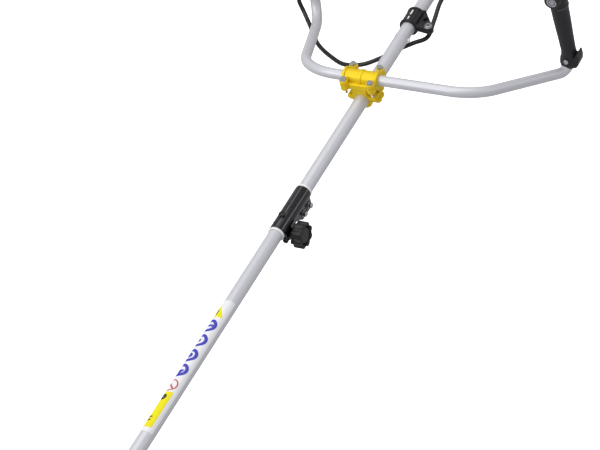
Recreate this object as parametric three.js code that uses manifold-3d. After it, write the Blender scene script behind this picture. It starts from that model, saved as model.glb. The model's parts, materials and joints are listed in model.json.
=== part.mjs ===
// A petrol string trimmer with a split shaft, modelled as it would come apart on a bench.
// Millimetres, +Z up. The origin is the middle of the engine stand's underside, on the ground.
// The drive tube runs along X: the engine is at +X, the cutting head at -X, and -Y is the operator's left.
import * as THREE from "three";
import { mergeVertices } from "three/addons/utils/BufferGeometryUtils.js";
import Module from "manifold-3d";

const wasm = await Module();
wasm.setup();

// ---------------------------------------------------------------- driving dimensions
const SHAFT_HEIGHT = 150; // drive tube's axis over the ground, with the trimmer laid down
const GAP = 0.3; // between pieces that touch
const RUN = 0.3; // radial clearance of a shaft in its bush

const TUBE_R = 13; // 26 mm drive tube
const TUBE_WALL = 1.5;
const DRIVE_R = 4; // 8 mm drive shaft inside it
const SOCKET_R = 7.5; // sleeve where the two drive shafts plug together
const SOCKET_DEPTH = 24;

const CLUTCH_MOUTH_X = -160; // where the drive tube enters the clutch housing
const TUBE_IN_CLUTCH = 45;
const BRACKET_X = -540; // handlebar bracket
const HANGER_X = -327; // harness clamp
const COUPLING_REAR_X = -803;
const COUPLING_LENGTH = 117;
const TUBE_IN_COUPLING = 56;
const LOWER_LENGTH = 760; // lower drive tube, end to end
const TUBE_IN_GEARBOX = 45;

const BAR_R = 10; // 20 mm handlebar tube
const BAR_WALL = 1.5;
const BAR_HEIGHT = 37; // handlebar's axis over the drive tube's axis
const BAR_SPLIT = 1; // between the two bars inside the bracket
const LEFT_BAR = { reach: 222, sweep: [197, -98, -90], bend: 75, endBend: 22, rise: 188 };
const RIGHT_BAR = { reach: 124.5, sweep: [245, 101, -90], bend: 85, endBend: 40, rise: 196 };

const CABLE_R = 4.25; // throttle cable and switch wires in their sleeve

const HEAD_TILT = 30; // degrees between the head's axis and the drive tube's normal
const PINION_TEETH = 15;
const GEAR_TEETH = 20;
const CONE_REACH = 19; // bevel gears' outer cone distance
const HEAD_R = 52;
const GUARD_R = 180;
const GUARD_WALL = 3;
const CUTTER_R = GUARD_R - GUARD_WALL - 3.6; // line cutter, inside the guard's skirt
const GUARD_SPREAD = 62; // degrees to each side

// ---------------------------------------------------------------- worked out from them
const COUPLING_FRONT_X = COUPLING_REAR_X - COUPLING_LENGTH;
const UPPER_FRONT_X = COUPLING_REAR_X - TUBE_IN_COUPLING;
const UPPER_REAR_X = CLUTCH_MOUTH_X + TUBE_IN_CLUTCH;
const LOWER_REAR_X = UPPER_FRONT_X - 2;
const LOWER_FRONT_X = LOWER_REAR_X - LOWER_LENGTH;
const GEARBOX_MOUTH_X = LOWER_FRONT_X + TUBE_IN_GEARBOX;
const GEAR_X = LOWER_FRONT_X - 26; // where the two gear axes cross
const TUBE_BORE = TUBE_R + 0.25; // in every piece that grips the tube
const TILT = THREE.MathUtils.degToRad(HEAD_TILT);

// ---------------------------------------------------------------- materials
const material = (color, roughness, metalness = 0) =>
  new THREE.MeshStandardMaterial({ color, roughness, metalness });
const MATERIALS = {
  silver_paint: material(0xd4d4da, 0.35, 0.4),
  yellow_paint: material(0xf2cf05, 0.4),
  black_plastic: material(0x1c1c1f, 0.55),
  black_metal: material(0x18181b, 0.4, 0.3),
  rubber: material(0x111112, 0.8),
  steel: material(0xb5b5ba, 0.3, 1),
  aluminium: material(0xb9bcc0, 0.4, 1),
  cast: material(0x8e9196, 0.6, 0.8),
  yellow_plastic: material(0xf0c808, 0.45),
  tank_plastic: material(0xd9d7cc, 0.5),
  nylon_line: material(0xe0571a, 0.4),
};

// ---------------------------------------------------------------- solids
/** Makes one closed, outward-facing solid from a three.js geometry. */
function solid(geometry) {
  const bare = geometry.index ? geometry.toNonIndexed() : geometry.clone();
  const merged = mergeVertices(
    new THREE.BufferGeometry().setAttribute("position", bare.getAttribute("position")),
    1e-4,
  );
  const kept = [];
  const index = merged.index.array;
  for (let i = 0; i < index.length; i += 3) {
    const [a, b, c] = [index[i], index[i + 1], index[i + 2]];
    if (a !== b && b !== c && c !== a) kept.push(a, b, c);
  }
  const build = (triangles) =>
    new wasm.Manifold(
      new wasm.Mesh({
        numProp: 3,
        vertProperties: merged.attributes.position.array,
        triVerts: new Uint32Array(triangles),
      }),
    );
  const made = build(kept);
  if (made.volume() > 0) return made;
  const turned = [];
  for (let i = 0; i < kept.length; i += 3) turned.push(kept[i], kept[i + 2], kept[i + 1]);
  return build(turned);
}

const join = (first, ...others) => others.reduce((all, next) => all.add(next), first);
const cut = (body, ...tools) => tools.reduce((all, tool) => all.subtract(tool), body);

/** The three.js geometry of a solid. */
function geometryOf(body) {
  const mesh = body.getMesh();
  const points = new Float32Array(mesh.numVert * 3);
  for (let i = 0; i < mesh.numVert; i++)
    points.set(mesh.vertProperties.subarray(i * mesh.numProp, i * mesh.numProp + 3), i * 3);
  const geometry = new THREE.BufferGeometry();
  geometry.setAttribute("position", new THREE.BufferAttribute(points, 3));
  geometry.setIndex(new THREE.BufferAttribute(mesh.triVerts, 1));
  geometry.computeVertexNormals();
  return geometry;
}

/** A box between two corners. */
function box(x0, x1, y0, y1, z0, z1) {
  const geometry = new THREE.BoxGeometry(x1 - x0, y1 - y0, z1 - z0);
  geometry.translate((x0 + x1) / 2, (y0 + y1) / 2, (z0 + z1) / 2);
  return solid(geometry);
}

/** Turns a geometry made along Y so that it runs along another axis. */
function turnTo(geometry, axis) {
  if (axis === "x") geometry.rotateZ(-Math.PI / 2);
  if (axis === "z") geometry.rotateX(Math.PI / 2);
  return geometry;
}

/** A round bar along an axis, between two places on it, about the two other coordinates in `at`. */
function rod(axis, radius, from, to, at = [0, 0], sides = 12) {
  const geometry = new THREE.CylinderGeometry(radius, radius, to - from, sides);
  geometry.translate(0, (from + to) / 2, 0);
  turnTo(geometry, axis);
  place(geometry, axis, at);
  return solid(geometry);
}

/** Moves a geometry across its axis. */
function place(geometry, axis, at) {
  if (axis === "x") geometry.translate(0, at[0], at[1]);
  if (axis === "y") geometry.translate(at[0], 0, at[1]);
  if (axis === "z") geometry.translate(at[0], at[1], 0);
}

/** A turned shape about an axis. Its outline holds [radius, distance along the axis] pairs. */
function turned(axis, outline, at = [0, 0], sides = 18) {
  const onAxis = outline[0][0] === 0 && outline[outline.length - 1][0] === 0;
  const points = outline.map(([r, h]) => new THREE.Vector2(r, h));
  if (!onAxis) points.push(points[0].clone());
  const geometry = turnTo(new THREE.LatheGeometry(points, sides), axis);
  place(geometry, axis, at);
  return solid(geometry);
}

/** A pipe along an axis. */
function pipe(axis, outer, inner, from, to, at = [0, 0], sides = 18) {
  return turned(axis, [[inner, from], [outer, from], [outer, to], [inner, to]], at, sides);
}

/** An outline of [u, v] points, the two other axes in X, Y, Z order, pushed along an axis. */
function plate(axis, outline, from, to) {
  const shape = new THREE.Shape(outline.map(([u, v]) => new THREE.Vector2(u, v)));
  const geometry = new THREE.ExtrudeGeometry(shape, { depth: to - from, bevelEnabled: false });
  geometry.translate(0, 0, from);
  const points = geometry.getAttribute("position");
  for (let i = 0; i < points.count; i++) {
    const [u, v, w] = [points.getX(i), points.getY(i), points.getZ(i)];
    if (axis === "x") points.setXYZ(i, w, u, v);
    if (axis === "y") points.setXYZ(i, u, w, v);
    if (axis === "z") points.setXYZ(i, u, v, w);
  }
  return solid(geometry);
}

/** Turns and then moves a solid: used for what follows the head's tilted axis. */
function tilted(geometryMaker) {
  const geometry = geometryOf(geometryMaker);
  geometry.rotateY(TILT);
  geometry.translate(GEAR_X, 0, 0);
  return solid(geometry);
}

/** A route made of straight runs and round bends, with a station wherever its direction changes. */
class BentRoute extends THREE.Curve {
  constructor(stations) {
    super();
    this.stations = stations;
  }
  getPoint(t, target = new THREE.Vector3()) {
    const along = t * (this.stations.length - 1);
    const i = Math.min(Math.floor(along), this.stations.length - 2);
    return target.lerpVectors(this.stations[i], this.stations[i + 1], along - i);
  }
  getPointAt(u, target) {
    return this.getPoint(u, target);
  }
  getTangentAt(u, target) {
    return this.getTangent(u, target);
  }
  getSpacedPoints(count) {
    return this.getPoints(count);
  }
}

/** The stations of a route through corners, each rounded to a radius. */
function roundedStations(corners, radii, steps = 5) {
  const stations = [corners[0]];
  for (let i = 1; i < corners.length - 1; i++) {
    const into = corners[i].clone().sub(corners[i - 1]).normalize();
    const out = corners[i + 1].clone().sub(corners[i]).normalize();
    const turn = into.angleTo(out);
    const reach = radii[i - 1] * Math.tan(turn / 2);
    const centre = out.clone().sub(into).normalize();
    centre.multiplyScalar(radii[i - 1] / Math.cos(turn / 2)).add(corners[i]);
    const start = corners[i].clone().addScaledVector(into, -reach).sub(centre);
    const axis = into.clone().cross(out).normalize();
    for (let k = 0; k <= steps; k++)
      stations.push(start.clone().applyAxisAngle(axis, (turn * k) / steps).add(centre));
  }
  stations.push(corners[corners.length - 1]);
  return stations;
}

/** A round section, with a hole in it if there is an inner radius. */
function ringShape(outer, inner, sides) {
  const circle = (radius) =>
    Array.from({ length: sides }, (_, i) => {
      const a = (2 * Math.PI * i) / sides;
      return new THREE.Vector2(radius * Math.cos(a), radius * Math.sin(a));
    });
  const shape = new THREE.Shape(circle(outer));
  if (inner) shape.holes.push(new THREE.Path(circle(inner).reverse()));
  return shape;
}

/** A tube along stations. */
function tubeAlong(stations, outer, inner, sides = 10) {
  return solid(
    new THREE.ExtrudeGeometry(ringShape(outer, inner, sides), {
      steps: stations.length - 1,
      extrudePath: new BentRoute(stations),
      bevelEnabled: false,
    }),
  );
}

// ---------------------------------------------------------------- the scene graph
const machine = new THREE.Group(); // the drive tube's axis is its X axis
machine.position.z = SHAFT_HEIGHT;
const head = new THREE.Group(); // the head spins about its Z axis, and hangs below its origin
head.position.x = GEAR_X;
head.rotation.y = TILT;
machine.add(head);

function add(name, look, body, parent = machine) {
  const mesh = new THREE.Mesh(geometryOf(body), MATERIALS[look]);
  mesh.name = name;
  parent.add(mesh);
}

// ---------------------------------------------------------------- drive tubes and shafts
const LATCH_X = COUPLING_FRONT_X + 34;

function buildDriveLine() {
  const tube = (from, to) => pipe("x", TUBE_R, TUBE_R - TUBE_WALL, from, to);
  add("upper_tube", "silver_paint", tube(UPPER_FRONT_X, UPPER_REAR_X));
  add("lower_tube", "silver_paint", tube(LOWER_FRONT_X, LOWER_REAR_X));
  const socketFront = UPPER_FRONT_X + 4;
  const socketRear = socketFront + SOCKET_DEPTH + 6;
  add(
    "upper_drive_shaft",
    "steel",
    cut(
      join(
        rod("x", DRIVE_R, socketRear - 1, DRUM_X - 4 - GAP, [0, 0], 12),
        rod("x", SOCKET_R, socketFront, socketRear, [0, 0], 16),
      ),
      rod("x", DRIVE_R + RUN, socketFront - 1, socketFront + SOCKET_DEPTH, [0, 0], 12),
    ),
  );
  add(
    "lower_drive_shaft",
    "steel",
    rod("x", DRIVE_R, GEAR_X + PINION_BACK + GAP, socketFront + SOCKET_DEPTH - 2, [0, 0], 12),
  );
  const bushX = (LOWER_FRONT_X + LOWER_REAR_X) / 2;
  add(
    "lower_bush",
    "black_plastic",
    pipe("x", TUBE_R - TUBE_WALL - GAP, DRIVE_R + RUN, bushX - 15, bushX + 15, [0, 0], 16),
  );
}

// ---------------------------------------------------------------- split-shaft coupling
const COUPLING_R = TUBE_R + 4;
const EAR_Z = -TUBE_R - 11; // the clamp ears' bolts, below the tube's axis
const EAR_HALF = 9;
const BOLT_SPACING = 22;
const KNOB_X = COUPLING_FRONT_X + 33;
const KNOB_R = 24;
const KNOB_IN = -(COUPLING_R + 2); // the knob's inner face
const KNOB_THICK = 20;

function knobOutline(radius, lobes, depth) {
  const steps = lobes * 4;
  return Array.from({ length: steps }, (_, i) => {
    const a = (2 * Math.PI * i) / steps;
    const r = radius - depth * (0.5 - 0.5 * Math.cos(lobes * a));
    return [KNOB_X + r * Math.cos(a), EAR_Z + r * Math.sin(a)];
  });
}

function buildCoupling() {
  const rear = COUPLING_REAR_X;
  const front = COUPLING_FRONT_X;
  const boltX = [rear - 12, rear - 12 - BOLT_SPACING];
  const low = EAR_Z - 10;
  const ears = plate(
    "y",
    [
      [rear - 2, -8],
      [rear - 2, low + 6],
      [rear - 6, low],
      [boltX[1] - 6, low],
      [boltX[1] - 16, low + 9],
      [KNOB_X + 20, EAR_Z + 6],
      [KNOB_X + 13, low + 6],
      [KNOB_X + 9, low],
      [KNOB_X - 9, low],
      [KNOB_X - 14, low + 6],
      [KNOB_X - 16, -8],
    ],
    -EAR_HALF,
    EAR_HALF,
  );
  const holes = [...boltX, KNOB_X].map((x) => rod("y", x === KNOB_X ? 4.4 : 3.4, -30, 30, [x, EAR_Z], 12));
  const body = cut(
    join(rod("x", COUPLING_R, front, rear, [0, 0], 18), ears),
    rod("x", TUBE_BORE, front - 1, rear + 1, [0, 0], 18),
    box(front - 1, rear + 1, -1, 1, low - 1, 0),
    box(front + 13, front + 15.5, 5, COUPLING_R + 1, -COUPLING_R, COUPLING_R),
    rod("z", 4.3, 5, 25, [LATCH_X, 0], 12),
    ...holes,
  );
  add("coupling_body", "black_metal", body);
  boltX.forEach((x, i) =>
    add(
      `coupling_bolt_${i + 1}`,
      "steel",
      join(
        rod("y", 5.7, -EAR_HALF - 6.3, -EAR_HALF - GAP, [x, EAR_Z], 6),
        rod("y", 3, -EAR_HALF - 1, EAR_HALF + 8, [x, EAR_Z], 10),
      ),
    ),
  );
  const knob = join(
    plate("y", knobOutline(KNOB_R, 8, 3), KNOB_IN - KNOB_THICK, KNOB_IN),
    rod("y", 9, KNOB_IN - 1, -EAR_HALF - GAP, [KNOB_X, EAR_Z], 14),
    rod("y", 4, -EAR_HALF - 1, EAR_HALF + 8, [KNOB_X, EAR_Z], 12),
  );
  add("coupling_knob", "black_plastic", knob);
  const seat = TUBE_R + 2 * GAP;
  add(
    "latch_button",
    "steel",
    join(
      rod("z", 4, seat, COUPLING_R + 3, [LATCH_X, 0], 12),
      rod("z", 6, COUPLING_R + GAP, COUPLING_R + 4, [LATCH_X, 0], 14),
    ),
  );
}

// ---------------------------------------------------------------- harness clamp
const EYE = { x: HANGER_X - 20, y: -41, r: 8.5 };

function buildHanger() {
  const half = 23;
  const a = 0.6;
  const outline = [
    [HANGER_X + half, -10],
    [HANGER_X + half, -17],
    ...[-0.55, -1.0, -1.5, -2.1, -2.7].map((t) => [
      EYE.x + EYE.r * Math.cos(t),
      EYE.y + EYE.r * Math.sin(t),
    ]),
    [HANGER_X - half - a, -17],
    [HANGER_X - half - a, -10],
  ];
  const body = cut(
    join(rod("x", TUBE_R + 4.5, HANGER_X - half, HANGER_X + half, [0, 0], 18), plate("z", outline, -6, 6)),
    rod("x", TUBE_BORE, HANGER_X - half - 2, HANGER_X + half + 2, [0, 0], 18),
    box(HANGER_X - half - 2, HANGER_X + half + 2, -60, 0, -1, 1),
    rod("z", 3.3, -20, 20, [EYE.x, EYE.y], 12),
    rod("z", 5.5, -20, 20, [HANGER_X - 1, -27], 14),
  );
  add("hanger_clamp", "black_plastic", body);
  add(
    "hanger_bolt",
    "steel",
    join(rod("z", 5.4, 6 + GAP, 10.5, [EYE.x, EYE.y], 14), rod("z", 3, -11, 7, [EYE.x, EYE.y], 12)),
  );
}

// ---------------------------------------------------------------- handlebar
const BRACKET = { half: 24, width: 42, boltX: 22, boltY: 27, lugR: 8 };

function barCorners(bar, side) {
  const start = new THREE.Vector3(BRACKET_X, (side * BAR_SPLIT) / 2, BAR_HEIGHT);
  const first = new THREE.Vector3(BRACKET_X, side * bar.reach, BAR_HEIGHT);
  const second = first.clone().add(new THREE.Vector3(...bar.sweep));
  const top = second.clone().add(new THREE.Vector3(0, 0, bar.rise));
  return [start, first, second, top];
}
const LEFT_END = barCorners(LEFT_BAR, -1)[2];
const RIGHT_END = barCorners(RIGHT_BAR, 1)[2];

function barStations(bar, side) {
  return roundedStations(barCorners(bar, side), [bar.bend, bar.endBend]);
}

function buildBars() {
  [
    ["left_bar", LEFT_BAR, -1],
    ["right_bar", RIGHT_BAR, 1],
  ].forEach(([name, bar, side]) => {
    add(name, "silver_paint", tubeAlong(barStations(bar, side), BAR_R, BAR_R - BAR_WALL));
  });
}

function buildBracket() {
  const { half, width, boltX, boltY, lugR } = BRACKET;
  const barBore = BAR_R + 0.25;
  const split = BAR_HEIGHT;
  const tubeBore = rod("x", TUBE_BORE, BRACKET_X - 60, BRACKET_X + 60, [0, 0], 18);
  const barHole = rod("y", barBore, -width - 10, width + 10, [BRACKET_X, split], 24);
  const corners = [
    [boltX, boltY],
    [boltX, -boltY],
    [-boltX, -boltY],
    [-boltX, boltY],
  ];
  const lugs = (from, to) => corners.map(([x, y]) => rod("z", lugR, from, to, [BRACKET_X + x, y], 12));
  const bolts = corners.map(([x, y]) => rod("z", 3.4, -5, 80, [BRACKET_X + x, y], 10));
  const below = box(BRACKET_X - 60, BRACKET_X + 60, -60, 60, -60, split + GAP);
  const cap = cut(
    join(
      rod("y", BAR_R + 5, -width, width, [BRACKET_X, split], 20),
      rod("y", BAR_R + 7.5, -width, -width + 5, [BRACKET_X, split], 20),
      rod("y", BAR_R + 7.5, width - 5, width, [BRACKET_X, split], 20),
      ...lugs(split - 2, split + 9),
    ),
    below,
    barHole,
    ...bolts,
  );
  add("bracket_cap", "yellow_paint", cap);
  const above = box(BRACKET_X - 60, BRACKET_X + 60, -60, 60, split - GAP, split + 60);
  const under = box(BRACKET_X - 60, BRACKET_X + 60, -60, 60, -60, GAP);
  const saddle = cut(
    join(
      rod("y", BAR_R + 5, -width, width, [BRACKET_X, split], 20),
      box(BRACKET_X - half, BRACKET_X + half, -20, 20, 0, split - 4),
      box(BRACKET_X - boltX, BRACKET_X + boltX, -boltY, boltY, split - 12, split),
      box(BRACKET_X - half, BRACKET_X + half, -29, 29, 0, 8),
      ...lugs(split - 14, split),
    ),
    above,
    under,
    barHole,
    tubeBore,
    ...bolts,
    ...[-1, 1].map((side) => rod("z", 2.8, -20, 20, [BRACKET_X, side * 24.5], 10)),
  );
  add("bracket_saddle", "yellow_paint", saddle);
  const clamp = cut(
    join(
      rod("x", TUBE_R + 6, BRACKET_X - half, BRACKET_X + half, [0, 0], 20),
      box(BRACKET_X - 12, BRACKET_X + 12, -31, 31, -9, 0),
    ),
    box(BRACKET_X - 60, BRACKET_X + 60, -60, 60, -GAP, 60),
    tubeBore,
    ...[-1, 1].map((side) => rod("z", 2.8, -20, 20, [BRACKET_X, side * 24.5], 10)),
  );
  add("bracket_clamp", "yellow_paint", clamp);
  corners.forEach(([x, y], i) =>
    add(
      `bracket_bolt_${i + 1}`,
      "steel",
      join(
        rod("z", 5.6, split + 9 + GAP, split + 14, [BRACKET_X + x, y], 6),
        rod("z", 3, split - 22, split + 10, [BRACKET_X + x, y], 8),
      ),
    ),
  );
}

// ---------------------------------------------------------------- grips and throttle
const GRIP_BORE = BAR_R + 0.6;
const SLOT_INTO_BORE = 2; // the levers' slots open into the bore by this much

function buildLeftGrip() {
  const { x, y, z } = LEFT_END;
  const bottom = z + 14;
  const top = z + LEFT_BAR.rise;
  const body = cut(
    join(
      turned(
        "z",
        [
          [0, bottom],
          [17, bottom],
          [19.5, bottom + 6],
          [19, bottom + 22],
          [15, bottom + 36],
          [16, bottom + 75],
          [16, bottom + 115],
          [15, top - 32],
          [19, top - 22],
          [19, top + 8],
          [14, top + 14],
          [0, top + 14],
        ],
        [x, y],
        18,
      ),
      plate(
        "x",
        [
          [y - 8, bottom + 2],
          [y - 22, bottom + 4],
          [y - 29, bottom + 16],
          [y - 29, bottom + 34],
          [y - 24, bottom + 37],
          [y - 20, bottom + 28],
          [y - 8, bottom + 26],
        ],
        x - 11,
        x + 11,
      ),
      rod("x", 12.5, x - 27, x, [y, top - 14], 18),
    ),
    rod("z", GRIP_BORE, top - 20, top + GAP, [x, y], 16),
    tubeAlong(barStations(LEFT_BAR, -1), GRIP_BORE, 0, 12),
  );
  add("left_grip", "black_plastic", body);
}

const THROTTLE = { bottom: 26, trigger: 92, lock: 96, half: 6 };

function buildThrottle() {
  const { x, y, z } = RIGHT_END;
  const top = z + RIGHT_BAR.rise;
  const { bottom, trigger, lock, half } = THROTTLE;
  const shell = cut(
    join(
      turned(
        "z",
        [
          [0, bottom],
          [16, bottom],
          [17.5, bottom + 6],
          [16, bottom + 24],
          [17.5, bottom + 52],
          [18, bottom + 70],
          [21, bottom + 84],
          [21, top + 4],
          [15, top + 10],
          [0, top + 10],
        ],
        [x, y],
        18,
      ),
      box(x - 24, x + 22, y - 11, y + 11, trigger - 6, top + 2),
      rod("z", 8.5, bottom + 10, bottom + 40, [x, y + 20], 14),
      box(x - 5, x + 5, y + 8, y + 20, bottom + 12, bottom + 38),
    ),
    rod("z", GRIP_BORE, bottom - 1, top + GAP, [x, y], 16),
    rod("z", CABLE_R + 1, bottom - 1, bottom + 30, [x, y + 20]),
    box(x - 40, x - GRIP_BORE + SLOT_INTO_BORE, y - half - 0.5, y + half + 0.5, bottom + 8, trigger + 8),
    box(x + GRIP_BORE - SLOT_INTO_BORE, x + 40, y - half - 0.5, y + half + 0.5, bottom + 12, lock + 8),
    box(x - 6.4, x + 6.4, y - 30, y - 16, top - 18, top - 2),
  );
  add("throttle_housing", "black_plastic", shell);
  const lever = plate(
    "y",
    [
      [x - 14, trigger + 4],
      [x - 22, trigger + 4],
      [x - 34, trigger - 16],
      [x - 38, trigger - 36],
      [x - 35, trigger - 52],
      [x - 30, trigger - 53],
      [x - 27, trigger - 34],
      [x - 20, trigger - 10],
      [x - 14, trigger - 4],
    ],
    y - half,
    y + half,
  );
  add("throttle_trigger", "yellow_plastic", lever);
  const guard = plate(
    "y",
    [
      [x + 14, lock + 4],
      [x + 19, lock + 4],
      [x + 26, lock - 14],
      [x + 26, lock - 46],
      [x + 22, lock - 50],
      [x + 20, lock - 44],
      [x + 19, lock - 12],
      [x + 14, lock - 4],
    ],
    y - half,
    y + half,
  );
  add("throttle_lockout", "black_plastic", guard);
  add("stop_switch", "yellow_plastic", box(x - 6, x + 6, y - 25, y - 17, top - 17, top - 9));
}

// The cable leaves the carburettor, follows the tube's left side, passes under the harness clamp and tube,
// swings out in a loop and follows the right bar up to the throttle.
const CABLE_POINTS = [
  [-30, -70, 34],
  [-62, -76, 32],
  [-110, -70, 22],
  [-160, -48, 8],
  [-210, -32, 1],
  [-261, -28, -2],
  [-310, -32, -13],
  [-347, -33, -21],
  [-366, -14, -21.5],
  [-392, 10, -21.5],
  [-421, 31, -21],
  [-442, 58, -23],
  [-444, 96, -28],
  [-420, 140, -34],
  [-388, 180, -42],
  [-357, 207, -48],
  [-330, 229, -46],
  [-309, 249, -34],
  [-302, 258, -12],
  [-298, 251, 8],
  [-295, 246, 24],
];

function buildCable() {
  const end = new THREE.Vector3(RIGHT_END.x, RIGHT_END.y + 20, THROTTLE.bottom + 29);
  const points = CABLE_POINTS.map(([x, y, z]) => new THREE.Vector3(x, y, z));
  points.push(end);
  const curve = new THREE.CatmullRomCurve3(points, false, "centripetal");
  add("throttle_cable", "rubber", tubeAlong(curve.getSpacedPoints(38), CABLE_R, 0, 8));
}

// ---------------------------------------------------------------- clutch, flywheel and crank
const BELL_R = 60;
const BELL_REAR_X = -46;
const BELL_WALL = 4;
const FAN_R = BELL_R - 11;
const DRUM_X = -96; // the drum's closed face
const DRUM_R = 40;
const SHOE_R = 35;
const CRANK_R = 7.5;
const WEB_R = 25;
const THROW = 15;
const WEB_GAP = 10; // between the two crank webs

function buildClutchHousing() {
  const mouth = CLUTCH_MOUTH_X;
  const outside = [
    [TUBE_BORE, mouth],
    [TUBE_R + 7, mouth],
    [TUBE_R + 7, mouth + 40],
    [30, mouth + 50],
    [50, mouth + 56],
    [BELL_R, mouth + 68],
    [BELL_R, BELL_REAR_X],
  ];
  const inside = [
    [BELL_R - BELL_WALL, BELL_REAR_X],
    [BELL_R - BELL_WALL, mouth + 72],
    [46, mouth + 61],
    [10, mouth + 53],
    [10, UPPER_REAR_X + GAP],
    [TUBE_BORE, UPPER_REAR_X + GAP],
  ];
  const ear = plate("y", [[mouth + 2, -18], [mouth + 2, -30], [mouth + 30, -30], [mouth + 34, -18]], -8, 8);
  add(
    "clutch_housing",
    "cast",
    cut(
      join(turned("x", [...outside, ...inside], [0, 0], 24), ear),
      rod("x", TUBE_BORE, mouth - 1, mouth + 36, [0, 0], 18),
      box(mouth - 1, mouth + 36, -1, 1, -40, 0),
    ),
  );
}

function buildClutch() {
  const rim = DRUM_X + 24;
  add(
    "clutch_drum",
    "steel",
    turned(
      "x",
      [
        [0, DRUM_X - 4],
        [9, DRUM_X - 4],
        [9, DRUM_X],
        [DRUM_R, DRUM_X],
        [DRUM_R, rim],
        [DRUM_R - 3, rim],
        [DRUM_R - 3, DRUM_X + 3],
        [0, DRUM_X + 3],
      ],
      [0, 0],
      24,
    ),
  );
  const shoe = (side) =>
    plate(
      "x",
      Array.from({ length: 9 }, (_, i) => side * 90 - 72 + 18 * i)
        .map((d) => THREE.MathUtils.degToRad(d))
        .map((t) => [SHOE_R * Math.cos(t), SHOE_R * Math.sin(t)])
        .concat([[-side * 1.5 + side * 2, side * 11]]),
      DRUM_X + 8,
      rim - 4,
    );
  add(
    "clutch_shoes",
    "cast",
    cut(
      join(shoe(1), shoe(-1), rod("x", 13, DRUM_X + 8, rim + 4, [0, 0], 16)),
      rod("x", CRANK_R + GAP, DRUM_X, rim + 10, [0, 0], 16),
    ),
  );
  const blades = Array.from({ length: 12 }, (_, i) => {
    const geometry = new THREE.BoxGeometry(9, 16, 2);
    geometry.translate(rim + 7.5, FAN_R - 8, 0);
    geometry.rotateX((2 * Math.PI * i) / 12);
    return solid(geometry);
  });
  add(
    "flywheel",
    "aluminium",
    cut(
      join(
        turned(
          "x",
          [
            [CRANK_R + GAP, rim + 9],
            [FAN_R + 3, rim + 11],
            [FAN_R + 3, BELL_REAR_X - 2],
            [CRANK_R + GAP, BELL_REAR_X - 2],
          ],
          [0, 0],
          18,
        ),
        ...blades,
      ),
      rod("x", 14, rim - 10, rim + 10, [0, 0], 16),
    ),
  );
}

function buildCrank() {
  const web = (from, to) => rod("x", WEB_R, from, to, [0, 0], 20);
  const inner = WEB_GAP / 2;
  add(
    "crank_front",
    "steel",
    join(rod("x", CRANK_R, DRUM_X + 6, -inner - 4, [0, 0], 14), web(-inner - 9, -inner)),
  );
  add("crank_rear", "steel", join(rod("x", CRANK_R, inner + 4, 62, [0, 0], 14), web(inner, inner + 9)));
  const pinTop = THROW + 52;
  const rodHalf = WEB_GAP / 2 - 1;
  add(
    "connecting_rod",
    "steel",
    join(
      rod("x", 9, -rodHalf, rodHalf, [0, THROW], 14),
      box(-3, 3, -3.5, 3.5, THROW, pinTop),
      rod("x", 6, -rodHalf, rodHalf, [0, pinTop], 12),
    ),
  );
  const skirt = BORE_R - 0.4;
  add(
    "piston",
    "aluminium",
    cut(
      rod("z", skirt, pinTop - 12, pinTop + 16, [0, 0], 20),
      rod("z", skirt - 3, pinTop - 13, pinTop + 11, [0, 0], 18),
    ),
  );
}

// ---------------------------------------------------------------- engine block
const BORE_R = 20;
const CASE_R = 36;
const CASE_TOP = 40;
const CASE_LOW = -44;
const CYLINDER_TOP = 124;
const FIN = { x: 26, y: 40 };

function buildBlock() {
  const front = BELL_REAR_X + GAP;
  const rear = 32;
  add(
    "crankcase",
    "cast",
    cut(
      join(
        rod("x", CASE_R, front, rear, [0, 0], 18),
        rod("x", BELL_R, front, front + 5, [0, 0], 24),
        box(-30, 30, -30, 30, 0, CASE_TOP),
        box(-34, 26, -34, 34, CASE_LOW, -10),
      ),
      rod("x", WEB_R + 3, -18, 18, [0, 0], 20),
      rod("x", CRANK_R + RUN, front - 1, rear + 1, [0, 0], 16),
      rod("z", BORE_R + 1, 0, CASE_TOP + 1, [0, 0], 20),
    ),
  );
  const fins = Array.from({ length: 7 }, (_, i) =>
    box(-FIN.x, FIN.x, -FIN.y, FIN.y, CASE_TOP + 12 + 10 * i, CASE_TOP + 15 + 10 * i),
  );
  add(
    "cylinder",
    "aluminium",
    cut(
      join(
        rod("z", BORE_R + 7, CASE_TOP + GAP, CYLINDER_TOP, [0, 0], 20),
        box(-28, 28, -28, 28, CASE_TOP + GAP, CASE_TOP + 5),
        box(-14, 14, -44, -20, 62, 86),
        box(-14, 14, 20, 44, 62, 86),
        ...fins,
      ),
      rod("z", BORE_R, CASE_TOP - 1, CYLINDER_TOP - 12, [0, 0], 20),
      rod("z", 5, CYLINDER_TOP - 20, CYLINDER_TOP + 1, [0, 0], 12),
      rod("y", 8, -50, -15, [0, 74], 12),
      rod("y", 8, 15, 50, [0, 74], 12),
    ),
  );
  add(
    "spark_plug",
    "steel",
    turned(
      "z",
      [
        [0, CYLINDER_TOP - 14],
        [4.6, CYLINDER_TOP - 14],
        [4.6, CYLINDER_TOP + GAP],
        [9, CYLINDER_TOP + GAP],
        [9, CYLINDER_TOP + 8],
        [5.5, CYLINDER_TOP + 10],
        [5, CYLINDER_TOP + 28],
        [0, CYLINDER_TOP + 28],
      ],
      [0, 0],
      12,
    ),
  );
  add(
    "plug_cap",
    "rubber",
    cut(
      join(
        rod("z", 9.5, CYLINDER_TOP + 12, CYLINDER_TOP + 42, [0, 0], 14),
        rod("x", 7, 0, 24, [0, CYLINDER_TOP + 34], 12),
      ),
      rod("z", 6, CYLINDER_TOP + 11, CYLINDER_TOP + 30, [0, 0], 12),
    ),
  );
}

// ---------------------------------------------------------------- cover, silencer, intake
const COVER = { x0: -58, x1: 60, y: 52, z0: 46, shoulder: 65, z1: 146, wall: 3, neck: [-37, 30] };

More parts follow.
